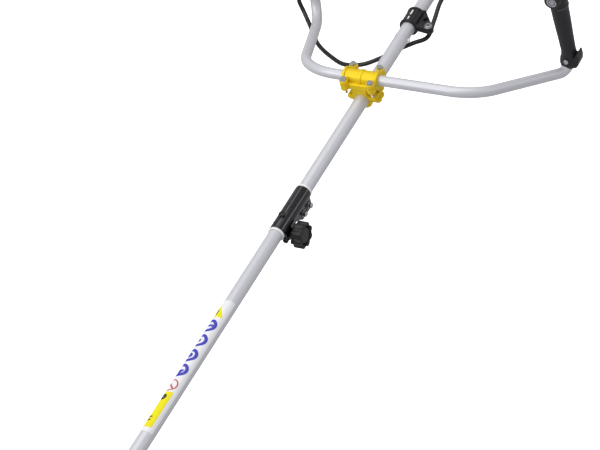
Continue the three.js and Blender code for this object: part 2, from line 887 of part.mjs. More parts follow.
function buildCover() {
  const { x0, x1, y, z0, shoulder, z1, wall, neck } = COVER;
  const outline = (inset) => {
    const [a, b, high] = [x0 + inset, x1 - inset, z1 - inset];
    const low = inset ? z0 - 5 : z0;
    return [
      [neck[0] + inset, low],
      [neck[1] - inset, low],
      [neck[1] - inset, shoulder + inset],
      [b, shoulder + inset],
      [b, high - 34],
      [b - 26, high - 4],
      [a + 40, high],
      [a + 10, high - 26],
      [a, shoulder + 20],
      [a, shoulder + inset],
      [neck[0] + inset, shoulder + inset],
    ];
  };
  add(
    "engine_cover",
    "yellow_plastic",
    cut(
      plate("y", outline(0), -y, y),
      plate("y", outline(wall), -y + wall, y - wall),
      box(-30, 26, -y - 5, -y + 10, z0 - 5, 108),
      box(-30, 26, y - 10, y + 5, z0 - 5, 112),
      rod("z", 14, z1 - 20, z1 + 5, [0, 0], 16),
      ...[0, 1, 2].map((i) => box(x0 - 5, x0 + 15, -34, 34, 74 + 11 * i, 79 + 11 * i)),
    ),
  );
}

function buildSilencer() {
  add(
    "muffler",
    "black_metal",
    cut(
      join(
        box(-38, 38, 56, 104, 44, 108),
        box(-13, 13, 44 + GAP, 57, 64, 84),
        rod("x", 7, 36, 48, [92, 60], 12),
      ),
      box(-36, 36, 58, 102, 46, 106),
      rod("y", 7, 40, 60, [0, 74], 12),
      rod("x", 5.5, 30, 50, [92, 60], 12),
    ),
  );
}

const CARB = { y0: -86, y1: -44 - GAP, z: 74 };
const BULB = { r: 9.5, travel: 3 };
const FILTER_Y = -88;

function buildIntake() {
  const { y0, y1, z } = CARB;
  const bulbY = (y0 + y1) / 2 - 4;
  add(
    "carburettor",
    "aluminium",
    cut(
      join(
        box(-19, 19, y0, y1 - 8, z - 18, z + 16),
        rod("y", 13, y0 + 10, y1, [0, z], 14),
        rod("z", BULB.r + 4, z - 28, z - 17, [0, bulbY], 14),
        box(-34, -18, (y0 + y1) / 2 - 8, (y0 + y1) / 2 + 2, z - 14, z + 2),
      ),
      rod("y", 9, y0 - 1, y1 + 1, [0, z], 14),
      rod("z", BULB.r + 0.8, z - 29, z - 28 + BULB.travel + 3, [0, bulbY], 14),
    ),
  );
  add(
    "air_filter_cover",
    "black_plastic",
    cut(
      join(
        box(-46, 22, FILTER_Y - 36, FILTER_Y - 6, z - 40, z + 30),
        box(-40, 18, FILTER_Y - 7, FILTER_Y, z - 34, z + 24),
      ),
      box(-43, 19, FILTER_Y - 33, FILTER_Y - 9, z - 37, z + 27),
      rod("y", 12, FILTER_Y - 30, FILTER_Y + 1, [0, z], 14),
    ),
  );
  add(
    "primer_bulb",
    "rubber",
    turned(
      "z",
      [
        [0, z - 39],
        [5, z - 38],
        [8, z - 34],
        [8, z - 29],
        [BULB.r, z - 27.5],
        [BULB.r, z - 25.5],
        [0, z - 25.5],
      ],
      [0, bulbY],
      14,
    ),
  );
  add(
    "choke_lever",
    "black_plastic",
    join(
      rod("x", 4, 19 + GAP, 32, [y0 + 12, z], 12),
      box(26, 30, y0 + 7, y0 + 17, z, z + 34),
      box(26, 40, y0 + 7, y0 + 17, z + 28, z + 34),
    ),
  );
}

// ---------------------------------------------------------------- fuel tank and stand
const TANK = { x: 56, y: 74, z0: -138, z1: -65, wall: 3 };
const STAND = { out: 12, over: 2, base: 6, rib: 12, top: CASE_LOW - GAP, beams: [-28, 20] };
const NECK = { x: -8, z: -95, r: 15 };

function tankOutline(inset) {
  const { y, z0, z1 } = TANK;
  const [a, b, c] = [y - inset, z0 + inset, z1 - inset];
  return [
    [-a, b + 16],
    [-a + 16, b],
    [a - 16, b],
    [a, b + 16],
    [a, c - 12],
    [a - 12, c],
    [-a + 12, c],
    [-a, c - 12],
  ];
}

function buildTank() {
  const { x, y, wall } = TANK;
  add(
    "fuel_tank",
    "tank_plastic",
    cut(
      join(plate("x", tankOutline(0), -x, x), rod("y", NECK.r, -y - 12, -y + 10, [NECK.x, NECK.z], 16)),
      plate("x", tankOutline(wall), -x + wall, x - wall),
      rod("y", NECK.r - 4, -y - 20, -y + 12, [NECK.x, NECK.z], 16),
    ),
  );
  add(
    "fuel_cap",
    "black_plastic",
    cut(
      rod("y", NECK.r + 6, -y - 20, -y - 2, [NECK.x, NECK.z], 20),
      rod("y", NECK.r + 0.6, -y - 13, -y, [NECK.x, NECK.z], 20),
    ),
  );
  const foot = -SHAFT_HEIGHT;
  const outer = y + STAND.out;
  const side = (sign, from, to, z0, z1) =>
    box(from, to, Math.min(sign * (y + 4), sign * outer), Math.max(sign * (y + 4), sign * outer), z0, z1);
  const half = x + STAND.over;
  add(
    "tank_stand",
    "black_plastic",
    join(
      cut(
        box(-half, half, -outer, outer, foot, foot + STAND.base),
        box(-half + 14, -STAND.rib, -outer + 22, outer - 22, foot - 1, foot + STAND.base + 1),
        box(STAND.rib, half - 14, -outer + 22, outer - 22, foot - 1, foot + STAND.base + 1),
      ),
      ...[-1, 1].flatMap((sign) => [
        side(sign, -half, -half + 14, foot, STAND.top),
        side(sign, half - 14, half, foot, STAND.top),
        side(sign, -half, half, STAND.top - 14, STAND.top),
      ]),
      ...STAND.beams.map((at) => box(at - 6, at + 6, -outer, outer, STAND.top - 14, STAND.top)),
      box(STAND.beams[0], STAND.beams[1], -18, 18, STAND.top - 8, STAND.top),
    ),
  );
}

// ---------------------------------------------------------------- recoil starter
const STARTER = { front: 34, rear: 96, r: 62, rope: 26, x: 76 };

function buildStarter() {
  const { front, rear, r, rope, x } = STARTER;
  const slots = Array.from({ length: 6 }, (_, i) => {
    const geometry = new THREE.BoxGeometry(20, 7, 18);
    geometry.translate(rear, 0, 44);
    geometry.rotateX((2 * Math.PI * (i + 0.5)) / 6);
    return solid(geometry);
  });
  add(
    "starter_housing",
    "black_plastic",
    cut(
      join(
        turned(
          "x",
          [
            [CASE_R - 6, front],
            [r, front],
            [r, rear - 12],
            [r - 12, rear],
            [0.001, rear],
            [0.001, rear - 3],
            [r - 13, rear - 3],
            [r - 3, rear - 14],
            [r - 3, front + 4],
            [CASE_R - 6, front + 4],
          ],
          [0, 0],
          28,
        ),
        rod("x", 5, rear - 16, rear - 2, [0, 0], 12),
        rod("z", 8, r - 8, r + 4, [x, -rope], 14),
      ),
      rod("z", 3.2, r - 14, r + 6, [x, -rope], 12),
      ...slots,
    ),
  );
  add(
    "starter_pulley",
    "black_plastic",
    turned(
      "x",
      [
        [5 + RUN, x - 7],
        [rope + 5, x - 7],
        [rope + 5, x - 4],
        [rope - 2, x - 2],
        [rope - 2, x + 2],
        [rope + 5, x + 4],
        [rope + 5, x + 7],
        [5 + RUN, x + 7],
      ],
      [0, 0],
      24,
    ),
  );
  const seat = r + 4 + GAP;
  add(
    "starter_grip",
    "rubber",
    join(
      rod("z", 6, seat, seat + 14, [x, -rope], 12),
      rod("y", 8, -rope - 36, -rope + 36, [x, seat + 18], 14),
    ),
  );
}

// ---------------------------------------------------------------- bevel gears
const PINION_BACK = 25;
const GEAR_BACK = 4; // behind the teeth
const OUTPUT_R = 7;
const FLANGE_R = 18;
const FLANGE_THICK = 4;
const SPINDLE_R = 6;
const SPINDLE_LENGTH = 22;
const CONE_INNER = 12;

/** The two pitch cones of bevel gears whose axes meet at 90 degrees plus the tilt. */
function pitchAngles() {
  const between = Math.PI / 2 + TILT;
  const ratio = GEAR_TEETH / PINION_TEETH;
  const pinion = Math.atan(Math.sin(between) / (ratio + Math.cos(between)));
  return { pinion, gear: between - pinion };
}

/** A bevel gear with straight teeth about +Z, its cones' tip at the origin. */
function bevelGear(teeth, pitch, phase) {
  const depth = 0.062; // tooth height on each side of the pitch cone, in radians of cone angle
  const marks = [];
  const share = [0, 0.16, 0.44, 0.6];
  for (let i = 0; i < teeth; i++)
    share.forEach((s, k) => marks.push([(2 * Math.PI * (i + s + phase)) / teeth, k === 1 || k === 2]));
  const rings = marks.map(([turn, tip]) => {
    const cone = pitch + (tip ? depth : -depth * 1.5);
    const line = [CONE_INNER, CONE_REACH].map((d) => [d * Math.sin(cone), d * Math.cos(cone)]);
    const back = [CONE_REACH * Math.sin(pitch) - 2, CONE_REACH * Math.cos(pitch) + GEAR_BACK];
    return [[0, CONE_INNER * Math.cos(pitch)], ...line, back, [0, back[1]]].map(
      ([r, h]) => new THREE.Vector3(r * Math.cos(turn), r * Math.sin(turn), h),
    );
  });
  const triangles = [];
  rings.forEach((ring, i) => {
    const next = rings[(i + 1) % rings.length];
    for (let k = 0; k < ring.length - 1; k++)
      triangles.push(ring[k], next[k], ring[k + 1], next[k], next[k + 1], ring[k + 1]);
  });
  return solid(new THREE.BufferGeometry().setFromPoints(triangles));
}

function buildGears() {
  const { pinion, gear } = pitchAngles();
  const small = geometryOf(
    join(
      bevelGear(PINION_TEETH, pinion, 0.2),
      rod("z", 8, CONE_REACH * Math.cos(pinion), PINION_BACK),
    ),
  );
  small.rotateY(Math.PI / 2);
  small.translate(GEAR_X, 0, 0);
  add("pinion", "steel", solid(small));
  const big = geometryOf(
    join(
      bevelGear(GEAR_TEETH, gear, -0.3),
      rod("z", OUTPUT_R, CONE_REACH * Math.cos(gear), FLANGE_TOP + 1),
      rod("z", FLANGE_R, FLANGE_TOP, FLANGE_TOP + FLANGE_THICK, [0, 0], 18),
      rod("z", SPINDLE_R, FLANGE_TOP + 1, FLANGE_TOP + SPINDLE_LENGTH),
    ),
  );
  big.rotateX(Math.PI);
  add("output_gear", "steel", solid(big), head);
}

const GEARBOX_NECK_R = TUBE_R + 6.5;
const BOSS_END = 34; // gearbox's lower face, along the head's axis
const FLANGE_TOP = BOSS_END + 1;

function buildGearbox() {
  const mouth = GEARBOX_MOUTH_X;
  const ball = new THREE.SphereGeometry(30, 16, 10);
  ball.translate(GEAR_X, 0, 0);
  const outer = join(
    rod("x", GEARBOX_NECK_R, GEAR_X, mouth, [0, 0], 18),
    solid(ball),
    tilted(rod("z", 26, -BOSS_END, 0, [0, 0], 18)),
    plate("y", [[mouth - 36, 12], [mouth - 3, 12], [mouth - 3, 30], [mouth - 30, 30]], -8, 8),
  );
  add(
    "gearbox_housing",
    "black_metal",
    cut(
      outer,
      rod("x", TUBE_BORE, LOWER_FRONT_X - GAP, mouth + 1, [0, 0], 18),
      rod("x", 16, GEAR_X, LOWER_FRONT_X + 1, [0, 0], 20),
      tilted(rod("z", 20.5, -14, 10, [0, 0], 18)),
      tilted(rod("z", OUTPUT_R + RUN, -BOSS_END - 1, 0)),
      box(mouth - 40, mouth + 1, -1, 1, 0, 40),
    ),
  );
}

// ---------------------------------------------------------------- cutting head and guard
// Both are built in the head's own frame, hanging along -Z.
const TOP = -FLANGE_TOP - FLANGE_THICK - GAP; // the spool housing's top face
const HEAD_BOTTOM = TOP - 49;
const EYELET_Z = TOP - 21;
const LINE_R = 1.2;
const LINE_END = CUTTER_R - 2; // trimmed by the cutter

function buildHead() {
  const lip = 29;
  add(
    "spool_housing",
    "black_plastic",
    cut(
      turned(
        "z",
        [
          [SPINDLE_R + GAP, TOP],
          [30, TOP],
          [HEAD_R - 4, TOP - 8],
          [HEAD_R, TOP - 16],
          [HEAD_R, HEAD_BOTTOM + 4],
          [HEAD_R - 4, HEAD_BOTTOM],
          [lip, HEAD_BOTTOM],
          [lip, HEAD_BOTTOM + 3],
          [HEAD_R - 5, HEAD_BOTTOM + 4],
          [HEAD_R - 3, HEAD_BOTTOM + 6],
          [HEAD_R - 3, TOP - 15],
          [HEAD_R - 7, TOP - 11],
          [28, TOP - 4],
          [SPINDLE_R + GAP, TOP - 4],
        ],
        [0, 0],
        28,
      ),
      rod("y", 3.2, -HEAD_R - 2, HEAD_R + 2, [0, EYELET_Z], 12),
    ),
    head,
  );
  add(
    "spool",
    "black_plastic",
    turned(
      "z",
      [
        [8, TOP - 8],
        [43, TOP - 12.5],
        [43, TOP - 14.5],
        [18, TOP - 14.5],
        [18, TOP - 31],
        [43, TOP - 31],
        [43, TOP - 33],
        [8, TOP - 33],
      ],
      [0, 0],
      24,
    ),
    head,
  );
  add(
    "cutting_line",
    "nylon_line",
    join(
      pipe("z", 32, 18 + GAP, TOP - 30.5, TOP - 15, [0, 0], 18),
      rod("y", LINE_R, -LINE_END, -30, [0, EYELET_Z], 8),
      rod("y", LINE_R, 30, LINE_END, [0, EYELET_Z], 8),
    ),
    head,
  );
  add(
    "bump_knob",
    "yellow_plastic",
    turned(
      "z",
      [
        [0, HEAD_BOTTOM + 7.5],
        [32, HEAD_BOTTOM + 7.5],
        [32, HEAD_BOTTOM + 3 + GAP],
        [lip - 1, HEAD_BOTTOM + 3 + GAP],
        [lip - 1, HEAD_BOTTOM - 4],
        [22, HEAD_BOTTOM - 14],
        [12, HEAD_BOTTOM - 18],
        [0, HEAD_BOTTOM - 18],
      ],
      [0, 0],
      24,
    ),
    head,
  );
}

function sectorPoints(inner, outer, spread, steps) {
  const angles = Array.from({ length: steps + 1 }, (_, i) => spread * ((2 * i) / steps - 1));
  const at = (r, degrees) => {
    const angle = THREE.MathUtils.degToRad(degrees);
    return [r * Math.cos(angle), r * Math.sin(angle)];
  };
  return [...angles.map((d) => at(outer, d)), ...angles.reverse().map((d) => at(inner, d))];
}

function buildGuard() {
  const top = -BOSS_END + 6;
  const wall = GUARD_WALL;
  const skirtLow = -(SHAFT_HEIGHT - GUARD_R * Math.sin(TILT)) / Math.cos(TILT);
  const clampCore = geometryOf(rod("x", GEARBOX_NECK_R + GAP, 0, 90, [0, 0], 18));
  clampCore.rotateY(-TILT);
  add(
    "guard",
    "black_plastic",
    cut(
      join(
        plate("z", sectorPoints(31, GUARD_R, GUARD_SPREAD, 16), top - wall, top),
        plate("z", sectorPoints(GUARD_R - wall, GUARD_R, GUARD_SPREAD, 16), skirtLow, top),
        box(36, 66, -15, 15, top - 1, 14),
        box(60, GUARD_R - 4, -1.5, 1.5, top - 1, top + 8),
      ),
      solid(clampCore),
      box(36 - 5, 80, -40, 40, 13.9, 60),
    ),
    head,
  );
  const blade = geometryOf(box(CUTTER_R, CUTTER_R + 2, -22, 12, skirtLow + 6, top - wall - 6));
  blade.rotateZ(THREE.MathUtils.degToRad(-GUARD_SPREAD + 1));
  add("line_cutter", "steel", solid(blade), head);
}

buildDriveLine();
buildCoupling();
buildHanger();
buildBars();
buildBracket();
buildLeftGrip();
buildThrottle();
buildCable();
buildClutchHousing();
buildClutch();
buildCrank();
buildBlock();
buildCover();
buildSilencer();
buildIntake();
buildTank();
buildStarter();
buildGears();
buildGearbox();
buildHead();
buildGuard();

const trimmer = new THREE.Group();
trimmer.add(machine);
export default trimmer;
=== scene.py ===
"""A petrol string trimmer with a split drive tube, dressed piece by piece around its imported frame.

Sizes in the classes are millimetres about the drive tube's axis. X runs along the tube with the engine
at +X, -Y is the operator's left and Z is up. The pieces under the gearbox are built about the cutting
head's own axis and hang along -Z. Workshop.add() puts both kinds where the frame says, in metres.
"""
import json
import logging
import math
from dataclasses import dataclass
from enum import Enum
from typing import Callable, Iterable, Sequence

import bmesh
import bpy
from mathutils import Matrix, Vector


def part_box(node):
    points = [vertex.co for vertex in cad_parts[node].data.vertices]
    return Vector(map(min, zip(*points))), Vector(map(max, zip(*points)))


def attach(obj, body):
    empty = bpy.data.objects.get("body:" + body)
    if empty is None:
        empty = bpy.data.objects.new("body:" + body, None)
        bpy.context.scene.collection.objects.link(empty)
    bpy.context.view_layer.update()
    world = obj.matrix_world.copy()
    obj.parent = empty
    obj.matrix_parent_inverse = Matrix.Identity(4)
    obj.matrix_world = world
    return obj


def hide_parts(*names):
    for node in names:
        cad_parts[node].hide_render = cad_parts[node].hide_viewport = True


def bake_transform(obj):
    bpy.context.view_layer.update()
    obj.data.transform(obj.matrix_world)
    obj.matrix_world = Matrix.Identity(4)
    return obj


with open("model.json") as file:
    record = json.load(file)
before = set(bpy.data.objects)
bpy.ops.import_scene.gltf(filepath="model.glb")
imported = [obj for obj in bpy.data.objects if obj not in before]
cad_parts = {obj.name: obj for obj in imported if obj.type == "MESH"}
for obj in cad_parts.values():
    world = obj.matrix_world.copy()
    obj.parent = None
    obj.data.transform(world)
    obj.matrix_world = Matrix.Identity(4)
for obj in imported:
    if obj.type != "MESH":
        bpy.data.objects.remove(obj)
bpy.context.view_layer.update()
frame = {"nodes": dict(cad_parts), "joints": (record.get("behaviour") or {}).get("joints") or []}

LOG = logging.getLogger("trimmer")
MM = 0.001
TAU = 2 * math.pi
HAIR = 0.01  # a rounding too small to see
ON_AXIS = 1e-4  # a radius below this is the axis itself
WELD = 0.02  # points closer than this are one point before edges are rounded
FLAT = 0.4  # faces that meet within this angle, in degrees, are one flat face
Pair = tuple[float, float]
Triple = tuple[float, float, float]
Outline = Sequence[Pair]


class Axis(Enum):
    """The direction that a turned or pushed shape runs along."""

    X = "x"
    Y = "y"
    Z = "z"

    def lay(self, u: float, v: float, along: float) -> Triple:
        """Puts a point of the shape's own plane, at a distance along the axis, in X, Y, Z order.

        Args:
            u: the first coordinate across the axis.
            v: the second one.
            along: the distance along the axis.

        Returns:
            The point.
        """
        if self is Axis.X:
            return (along, u, v)
        if self is Axis.Y:
            return (u, along, v)
        return (u, v, along)


X, Y, Z = Axis.X, Axis.Y, Axis.Z


class Blend(Enum):
    """How two solids combine."""

    JOIN = "UNION"
    CUT = "DIFFERENCE"
    COMMON = "INTERSECT"


def arc(centre: Pair, radius: float, start: float, end: float, steps: int = 6) -> list[Pair]:
    """Points on a circular arc.

    Args:
        centre: the arc's middle.
        radius: its radius.
        start: first angle, in degrees.
        end: last angle, in degrees.
        steps: how many chords it has.

    Returns:
        steps + 1 points.
    """
    points = []
    for i in range(steps + 1):
        angle = math.radians(start + (end - start) * i / steps)
        points.append((centre[0] + radius * math.cos(angle), centre[1] + radius * math.sin(angle)))
    return points


def rounded(corners: Outline, radius: float | Sequence[float], steps: int = 4) -> list[Pair]:
    """Rounds the corners of a closed outline.

    Args:
        corners: the outline's corners.
        radius: one radius, or one for each corner.
        steps: chords in each rounded corner.

    Returns:
        The rounded outline.
    """
    count = len(corners)
    radii = list(radius) if isinstance(radius, (list, tuple)) else [radius] * count
    points: list[Pair] = []
    for i, corner in enumerate(corners):
        here = Vector(corner)
        before = Vector(corners[i - 1]) - here
        after = Vector(corners[(i + 1) % count]) - here
        half = before.angle(after) / 2
        reach = min(radii[i] / math.tan(half), before.length * 0.49, after.length * 0.49)
        if reach < 1e-3:
            points.append(corner)
            continue
        start = here + before.normalized() * reach
        end = here + after.normalized() * reach
        for k in range(steps + 1):
            t = k / steps
            bend = start.lerp(here, t).lerp(here.lerp(end, t), t)
            points.append((bend.x, bend.y))
    return points


def bent_route(corners: Sequence[Triple], radii: Sequence[float], steps: int = 12) -> list[Vector]:
    """Stations along straight runs joined by round bends.

    Args:
        corners: the route's corners.
        radii: a bend radius for each inner corner.
        steps: chords in each bend.

    Returns:
        The stations, first corner to last.
    """
    route = [Vector(c) for c in corners]
    stations = [route[0]]
    for i in range(1, len(route) - 1):
        into = (route[i] - route[i - 1]).normalized()
        out = (route[i + 1] - route[i]).normalized()
        turn = into.angle(out)
        radius = radii[i - 1]
        centre = route[i] + (out - into).normalized() * radius / math.cos(turn / 2)
        start = route[i] - into * radius * math.tan(turn / 2) - centre
        axis = into.cross(out).normalized()
        for k in range(steps + 1):
            stations.append(centre + Matrix.Rotation(turn * k / steps, 3, axis) @ start)
    stations.append(route[-1])
    return stations


def between(a: Vector, b: Vector, start: float, end: float, t: float) -> Vector:
    """The point at t on the line that is at a when t is start and at b when t is end."""
    return a.lerp(b, (t - start) / (end - start))


def smooth_route(points: Sequence[Triple], steps: int = 8) -> list[Vector]:
    """Stations on a centripetal spline through points.

    Args:
        points: what the spline passes through.
        steps: stations from one point to the next.

    Returns:
        The stations, ends included.
    """
    route = [Vector(p) for p in points]
    route = [route[0] * 2 - route[1], *route, route[-1] * 2 - route[-2]]
    stations: list[Vector] = []
    for i in range(1, len(route) - 2):
        p0, p1, p2, p3 = route[i - 1 : i + 3]
        t1 = math.sqrt((p1 - p0).length)
        t2 = t1 + math.sqrt((p2 - p1).length)
        t3 = t2 + math.sqrt((p3 - p2).length)
        for k in range(steps):
            t = t1 + (t2 - t1) * k / steps
            first = between(p0, p1, 0, t1, t)
            middle = between(p1, p2, t1, t2, t)
            last = between(p2, p3, t2, t3, t)
            early = between(first, middle, 0, t2, t)
            late = between(middle, last, t1, t3, t)
            stations.append(between(early, late, t1, t2, t))
    stations.append(route[-2])
    return stations


def travelling_frames(stations: Sequence[Vector]) -> list[tuple[Vector, Vector, Vector]]:
    """Each station with the two directions across the route, carried along it without twist.

    Args:
        stations: the route.

    Returns:
        A point, a side and an up direction for each station.
    """
    frames = []
    side = Vector((0, 0, 1))
    last = len(stations) - 1
    for i, point in enumerate(stations):
        ahead = (stations[min(i + 1, last)] - stations[max(i - 1, 0)]).normalized()
        if i == 0 and abs(ahead.z) > 0.9:
            side = Vector((0, 1, 0))
        side = (side - ahead * side.dot(ahead)).normalized()
        frames.append((point, side, ahead.cross(side)))
    return frames


class Solid:
    """A closed mesh in millimetres, made by turning, pushing or sweeping, then joined and cut."""

    def __init__(self, mesh: bpy.types.Mesh) -> None:
        """Keeps the mesh."""
        self.mesh = mesh

    @classmethod
    def from_bmesh(cls, bm: bmesh.types.BMesh) -> "Solid":
        """Merges doubled points, turns the faces outwards and keeps the result.

        Args:
            bm: the faces; it is used up.

        Returns:
            The solid.
        """
        bmesh.ops.remove_doubles(bm, verts=bm.verts, dist=1e-4)
        bmesh.ops.recalc_face_normals(bm, faces=bm.faces)
        mesh = bpy.data.meshes.new("solid")
        bm.to_mesh(mesh)
        bm.free()
        return cls(mesh)

    @classmethod
    def from_rings(cls, rings: Sequence[Sequence[Triple]], closed: bool = False) -> "Solid":
        """Skins a row of rings of points.

        Args:
            rings: the rings, each with as many points as the next.
            closed: True joins the last ring to the first, False caps both ends.

        Returns:
            The solid.
        """
        bm = bmesh.new()
        made = [[bm.verts.new(p) for p in ring] for ring in rings]
        count = len(made[0])
        pairs = list(zip(made, made[1:])) + ([(made[-1], made[0])] if closed else [])
        for a, b in pairs:
            for i in range(count):
                j = (i + 1) % count
                bm.faces.new((a[i], a[j], b[j], b[i]))
        if not closed:
            bm.faces.new(made[0][::-1])
            bm.faces.new(made[-1])
        return cls.from_bmesh(bm)

    @classmethod
    def turned(cls, axis: Axis, outline: Outline, at: Pair = (0, 0), sides: int = 64) -> "Solid":
        """A turned shape.

        Args:
            axis: what it is turned about.
            outline: (radius, distance along the axis) pairs, which start and end on the axis or close
                on themselves.
            at: where the axis is, across it.
            sides: how many sides the turning has.

        Returns:
            The solid.
        """
        bm = bmesh.new()
        rings = []
        for radius, along in outline:
            if radius < ON_AXIS:
                rings.append([bm.verts.new(axis.lay(at[0], at[1], along))])
                continue
            ring = []
            for i in range(sides):
                angle = TAU * i / sides
                u, v = at[0] + radius * math.cos(angle), at[1] + radius * math.sin(angle)
                ring.append(bm.verts.new(axis.lay(u, v, along)))
            rings.append(ring)
        on_axis = len(rings[0]) == 1 and len(rings[-1]) == 1
        pairs = list(zip(rings, rings[1:])) + ([] if on_axis else [(rings[-1], rings[0])])
        for a, b in pairs:
            for i in range(sides):
                j = (i + 1) % sides
                corners = [a[i % len(a)], a[j % len(a)], b[j % len(b)], b[i % len(b)]]
                corners = list(dict.fromkeys(corners))
                if len(corners) > 2:
                    bm.faces.new(corners)
        return cls.from_bmesh(bm)

    @classmethod
    def rod(
        cls,
        axis: Axis,
        radius: float,
        start: float,
        end: float,
        at: Pair = (0, 0),
        edge: float = 0.5,
        sides: int = 48,
    ) -> "Solid":
        """A round bar with rounded rims.

        Args:
            axis: what it runs along.
            radius: its radius.
            start: where it starts.
            end: where it ends.
            at: where its axis is, across it.
            edge: the rims' rounding.
            sides: how many sides it has.

        Returns:
            The solid.
        """
        first = arc((radius - edge, start + edge), edge, -90, 0, 3)
        last = arc((radius - edge, end - edge), edge, 0, 90, 3)
        return cls.turned(axis, [(0, start), *first, *last, (0, end)], at, sides)

    @classmethod
    def bore(
        cls, axis: Axis, radius: float, start: float, end: float, at: Pair = (0, 0), sides: int = 48
    ) -> "Solid":
        """A round bar to cut a hole with, as rod() but with next to no rounding."""
        return cls.rod(axis, radius, start, end, at, HAIR, sides)

    @classmethod
    def pipe(
        cls,
        axis: Axis,
        outer: float,
        inner: float,
        start: float,
        end: float,
        at: Pair = (0, 0),
        edge: float = 0.4,
        sides: int = 64,
    ) -> "Solid":
        """A pipe with rounded rims, as rod() but with an inner radius."""
        corners = [(inner, start), (outer, start), (outer, end), (inner, end)]
        return cls.turned(axis, rounded(corners, edge, 3), at, sides)

    @classmethod
    def slab(
        cls, axis: Axis, outline: Outline, start: float, end: float, edge: float = 0.6, steps: int = 2
    ) -> "Solid":
        """An outline pushed along an axis, with its sharp edges rounded.

        Args:
            axis: the direction it is pushed in.
            outline: its corners, in the two other axes in X, Y, Z order.
            start: where it starts.
            end: where it ends.
            edge: the edges' rounding, or 0 to leave them sharp.
            steps: chords in each rounded edge.

        Returns:
            The solid.
        """
        rings = [[axis.lay(u, v, along) for u, v in outline] for along in (start, end)]
        made = cls.from_rings(rings)
        return made.softened(edge, steps) if edge else made

    @classmethod
    def block(cls, low: Triple, high: Triple, edge: float = 0.8, steps: int = 3) -> "Solid":
        """A box between two corners, with rounded edges."""
        corners = [(low[0], low[1]), (high[0], low[1]), (high[0], high[1]), (low[0], high[1])]
        return cls.slab(Z, corners, low[2], high[2], edge, steps)

    @classmethod
    def swept(cls, stations: Sequence[Vector], outer: float, inner: float = 0, sides: int = 32) -> "Solid":
        """A round tube, or a bar where there is no inner radius, along stations.

        Args:
            stations: the centreline.
            outer: the outer radius.
            inner: the inner radius, or 0 for a bar.
            sides: how many sides it has.

        Returns:
            The solid.
        """
        ring = arc((0, 0), 1, 0, 360 - 360 / sides, sides - 1)
        frames = travelling_frames(stations)

        def skin(radius: float) -> list[list[Triple]]:
            """The rings of one wall."""
            return [[tuple(p + s * u * radius + t * v * radius) for u, v in ring] for p, s, t in frames]

        if not inner:
            return cls.from_rings(skin(outer))
        return cls.from_rings([*skin(outer), *reversed(skin(inner))], closed=True)

    @classmethod
    def swept_section(cls, stations: Sequence[Vector], section: Outline) -> "Solid":
        """A bar of any section along stations."""
        frames = travelling_frames(stations)
        return cls.from_rings([[tuple(p + side * u + up * v) for u, v in section] for p, side, up in frames])

    def dressed(self, dress: Callable[[bpy.types.Object], None]) -> "Solid":
        """The solid with modifiers applied.

        Args:
            dress: adds the modifiers to a temporary object.

        Returns:
            A new solid.
        """
        holder = bpy.data.objects.new("holder", self.mesh)
        bpy.context.scene.collection.objects.link(holder)
        dress(holder)
        evaluated = holder.evaluated_get(bpy.context.evaluated_depsgraph_get())
        made = bpy.data.meshes.new_from_object(evaluated)
        bpy.data.objects.remove(holder)
        return Solid(made)

    def combined(self, blend: Blend, others: Iterable["Solid"]) -> "Solid":
        """The solid joined with, cut by or kept inside others.

        Args:
            blend: how they combine.
            others: the other solids.

        Returns:
            A new solid.
        """
        tools = []
        for other in others:
            tool = bpy.data.objects.new("tool", other.mesh)
            bpy.context.scene.collection.objects.link(tool)
            tools.append(tool)

        def add_booleans(holder: bpy.types.Object) -> None:
            """One boolean for each tool.

            Args:
                holder: the temporary object.
            """
            for tool in tools:
                boolean = holder.modifiers.new("combine", "BOOLEAN")
                boolean.operation = blend.value
                boolean.object = tool
                boolean.solver = "MANIFOLD"

        made = self.dressed(add_booleans)
        for tool in tools:
            bpy.data.objects.remove(tool)
        return made

    def join(self, *others: "Solid") -> "Solid":
        """The solid with others added."""
        return self.combined(Blend.JOIN, others)

    def cut(self, *others: "Solid") -> "Solid":
        """The solid with others taken away."""
        return self.combined(Blend.CUT, others)

    def common(self, *others: "Solid") -> "Solid":
        """What the solid shares with others."""
        return self.combined(Blend.COMMON, others)

    def softened(self, width: float, steps: int = 2, angle: float = 32, merge: bool = True) -> "Solid":
        """The solid with every edge sharper than an angle rounded, its flat faces merged first if asked.

        Args:
            width: the rounding.
            steps: chords in each rounded edge.
            angle: how sharp an edge has to be, in degrees.
            merge: False where a flat face has holes.

        Returns:
            A new solid.
        """
        bm = bmesh.new()
        bm.from_mesh(self.mesh)
        bmesh.ops.remove_doubles(bm, verts=bm.verts, dist=WELD)
        if merge:
            bmesh.ops.dissolve_limit(bm, angle_limit=math.radians(FLAT), verts=bm.verts, edges=bm.edges)
        cleaned = bpy.data.meshes.new("cleaned")
        bm.to_mesh(cleaned)
        bm.free()

        def add_bevel(holder: bpy.types.Object) -> None:
            """The edge rounding.

            Args:
                holder: the temporary object.
            """
            bevel = holder.modifiers.new("soften", "BEVEL")
            bevel.limit_method = "ANGLE"
            bevel.angle_limit = math.radians(angle)
            bevel.width = width
            bevel.segments = steps
            bevel.use_clamp_overlap = True
            bevel.miter_outer = "MITER_ARC"

        return Solid(cleaned).dressed(add_bevel)

    def moved(self, matrix: Matrix) -> "Solid":
        """A copy of the solid, moved.

        Args:
            matrix: the move, which may mirror.

        Returns:
            The copy.
        """
        mesh = self.mesh.copy()
        mesh.transform(matrix)
        if matrix.determinant() < 0:
            mesh.flip_normals()
        return Solid(mesh)

    def shifted(self, x: float = 0, y: float = 0, z: float = 0) -> "Solid":
        """A copy of the solid, shifted."""
        return self.moved(Matrix.Translation((x, y, z)))

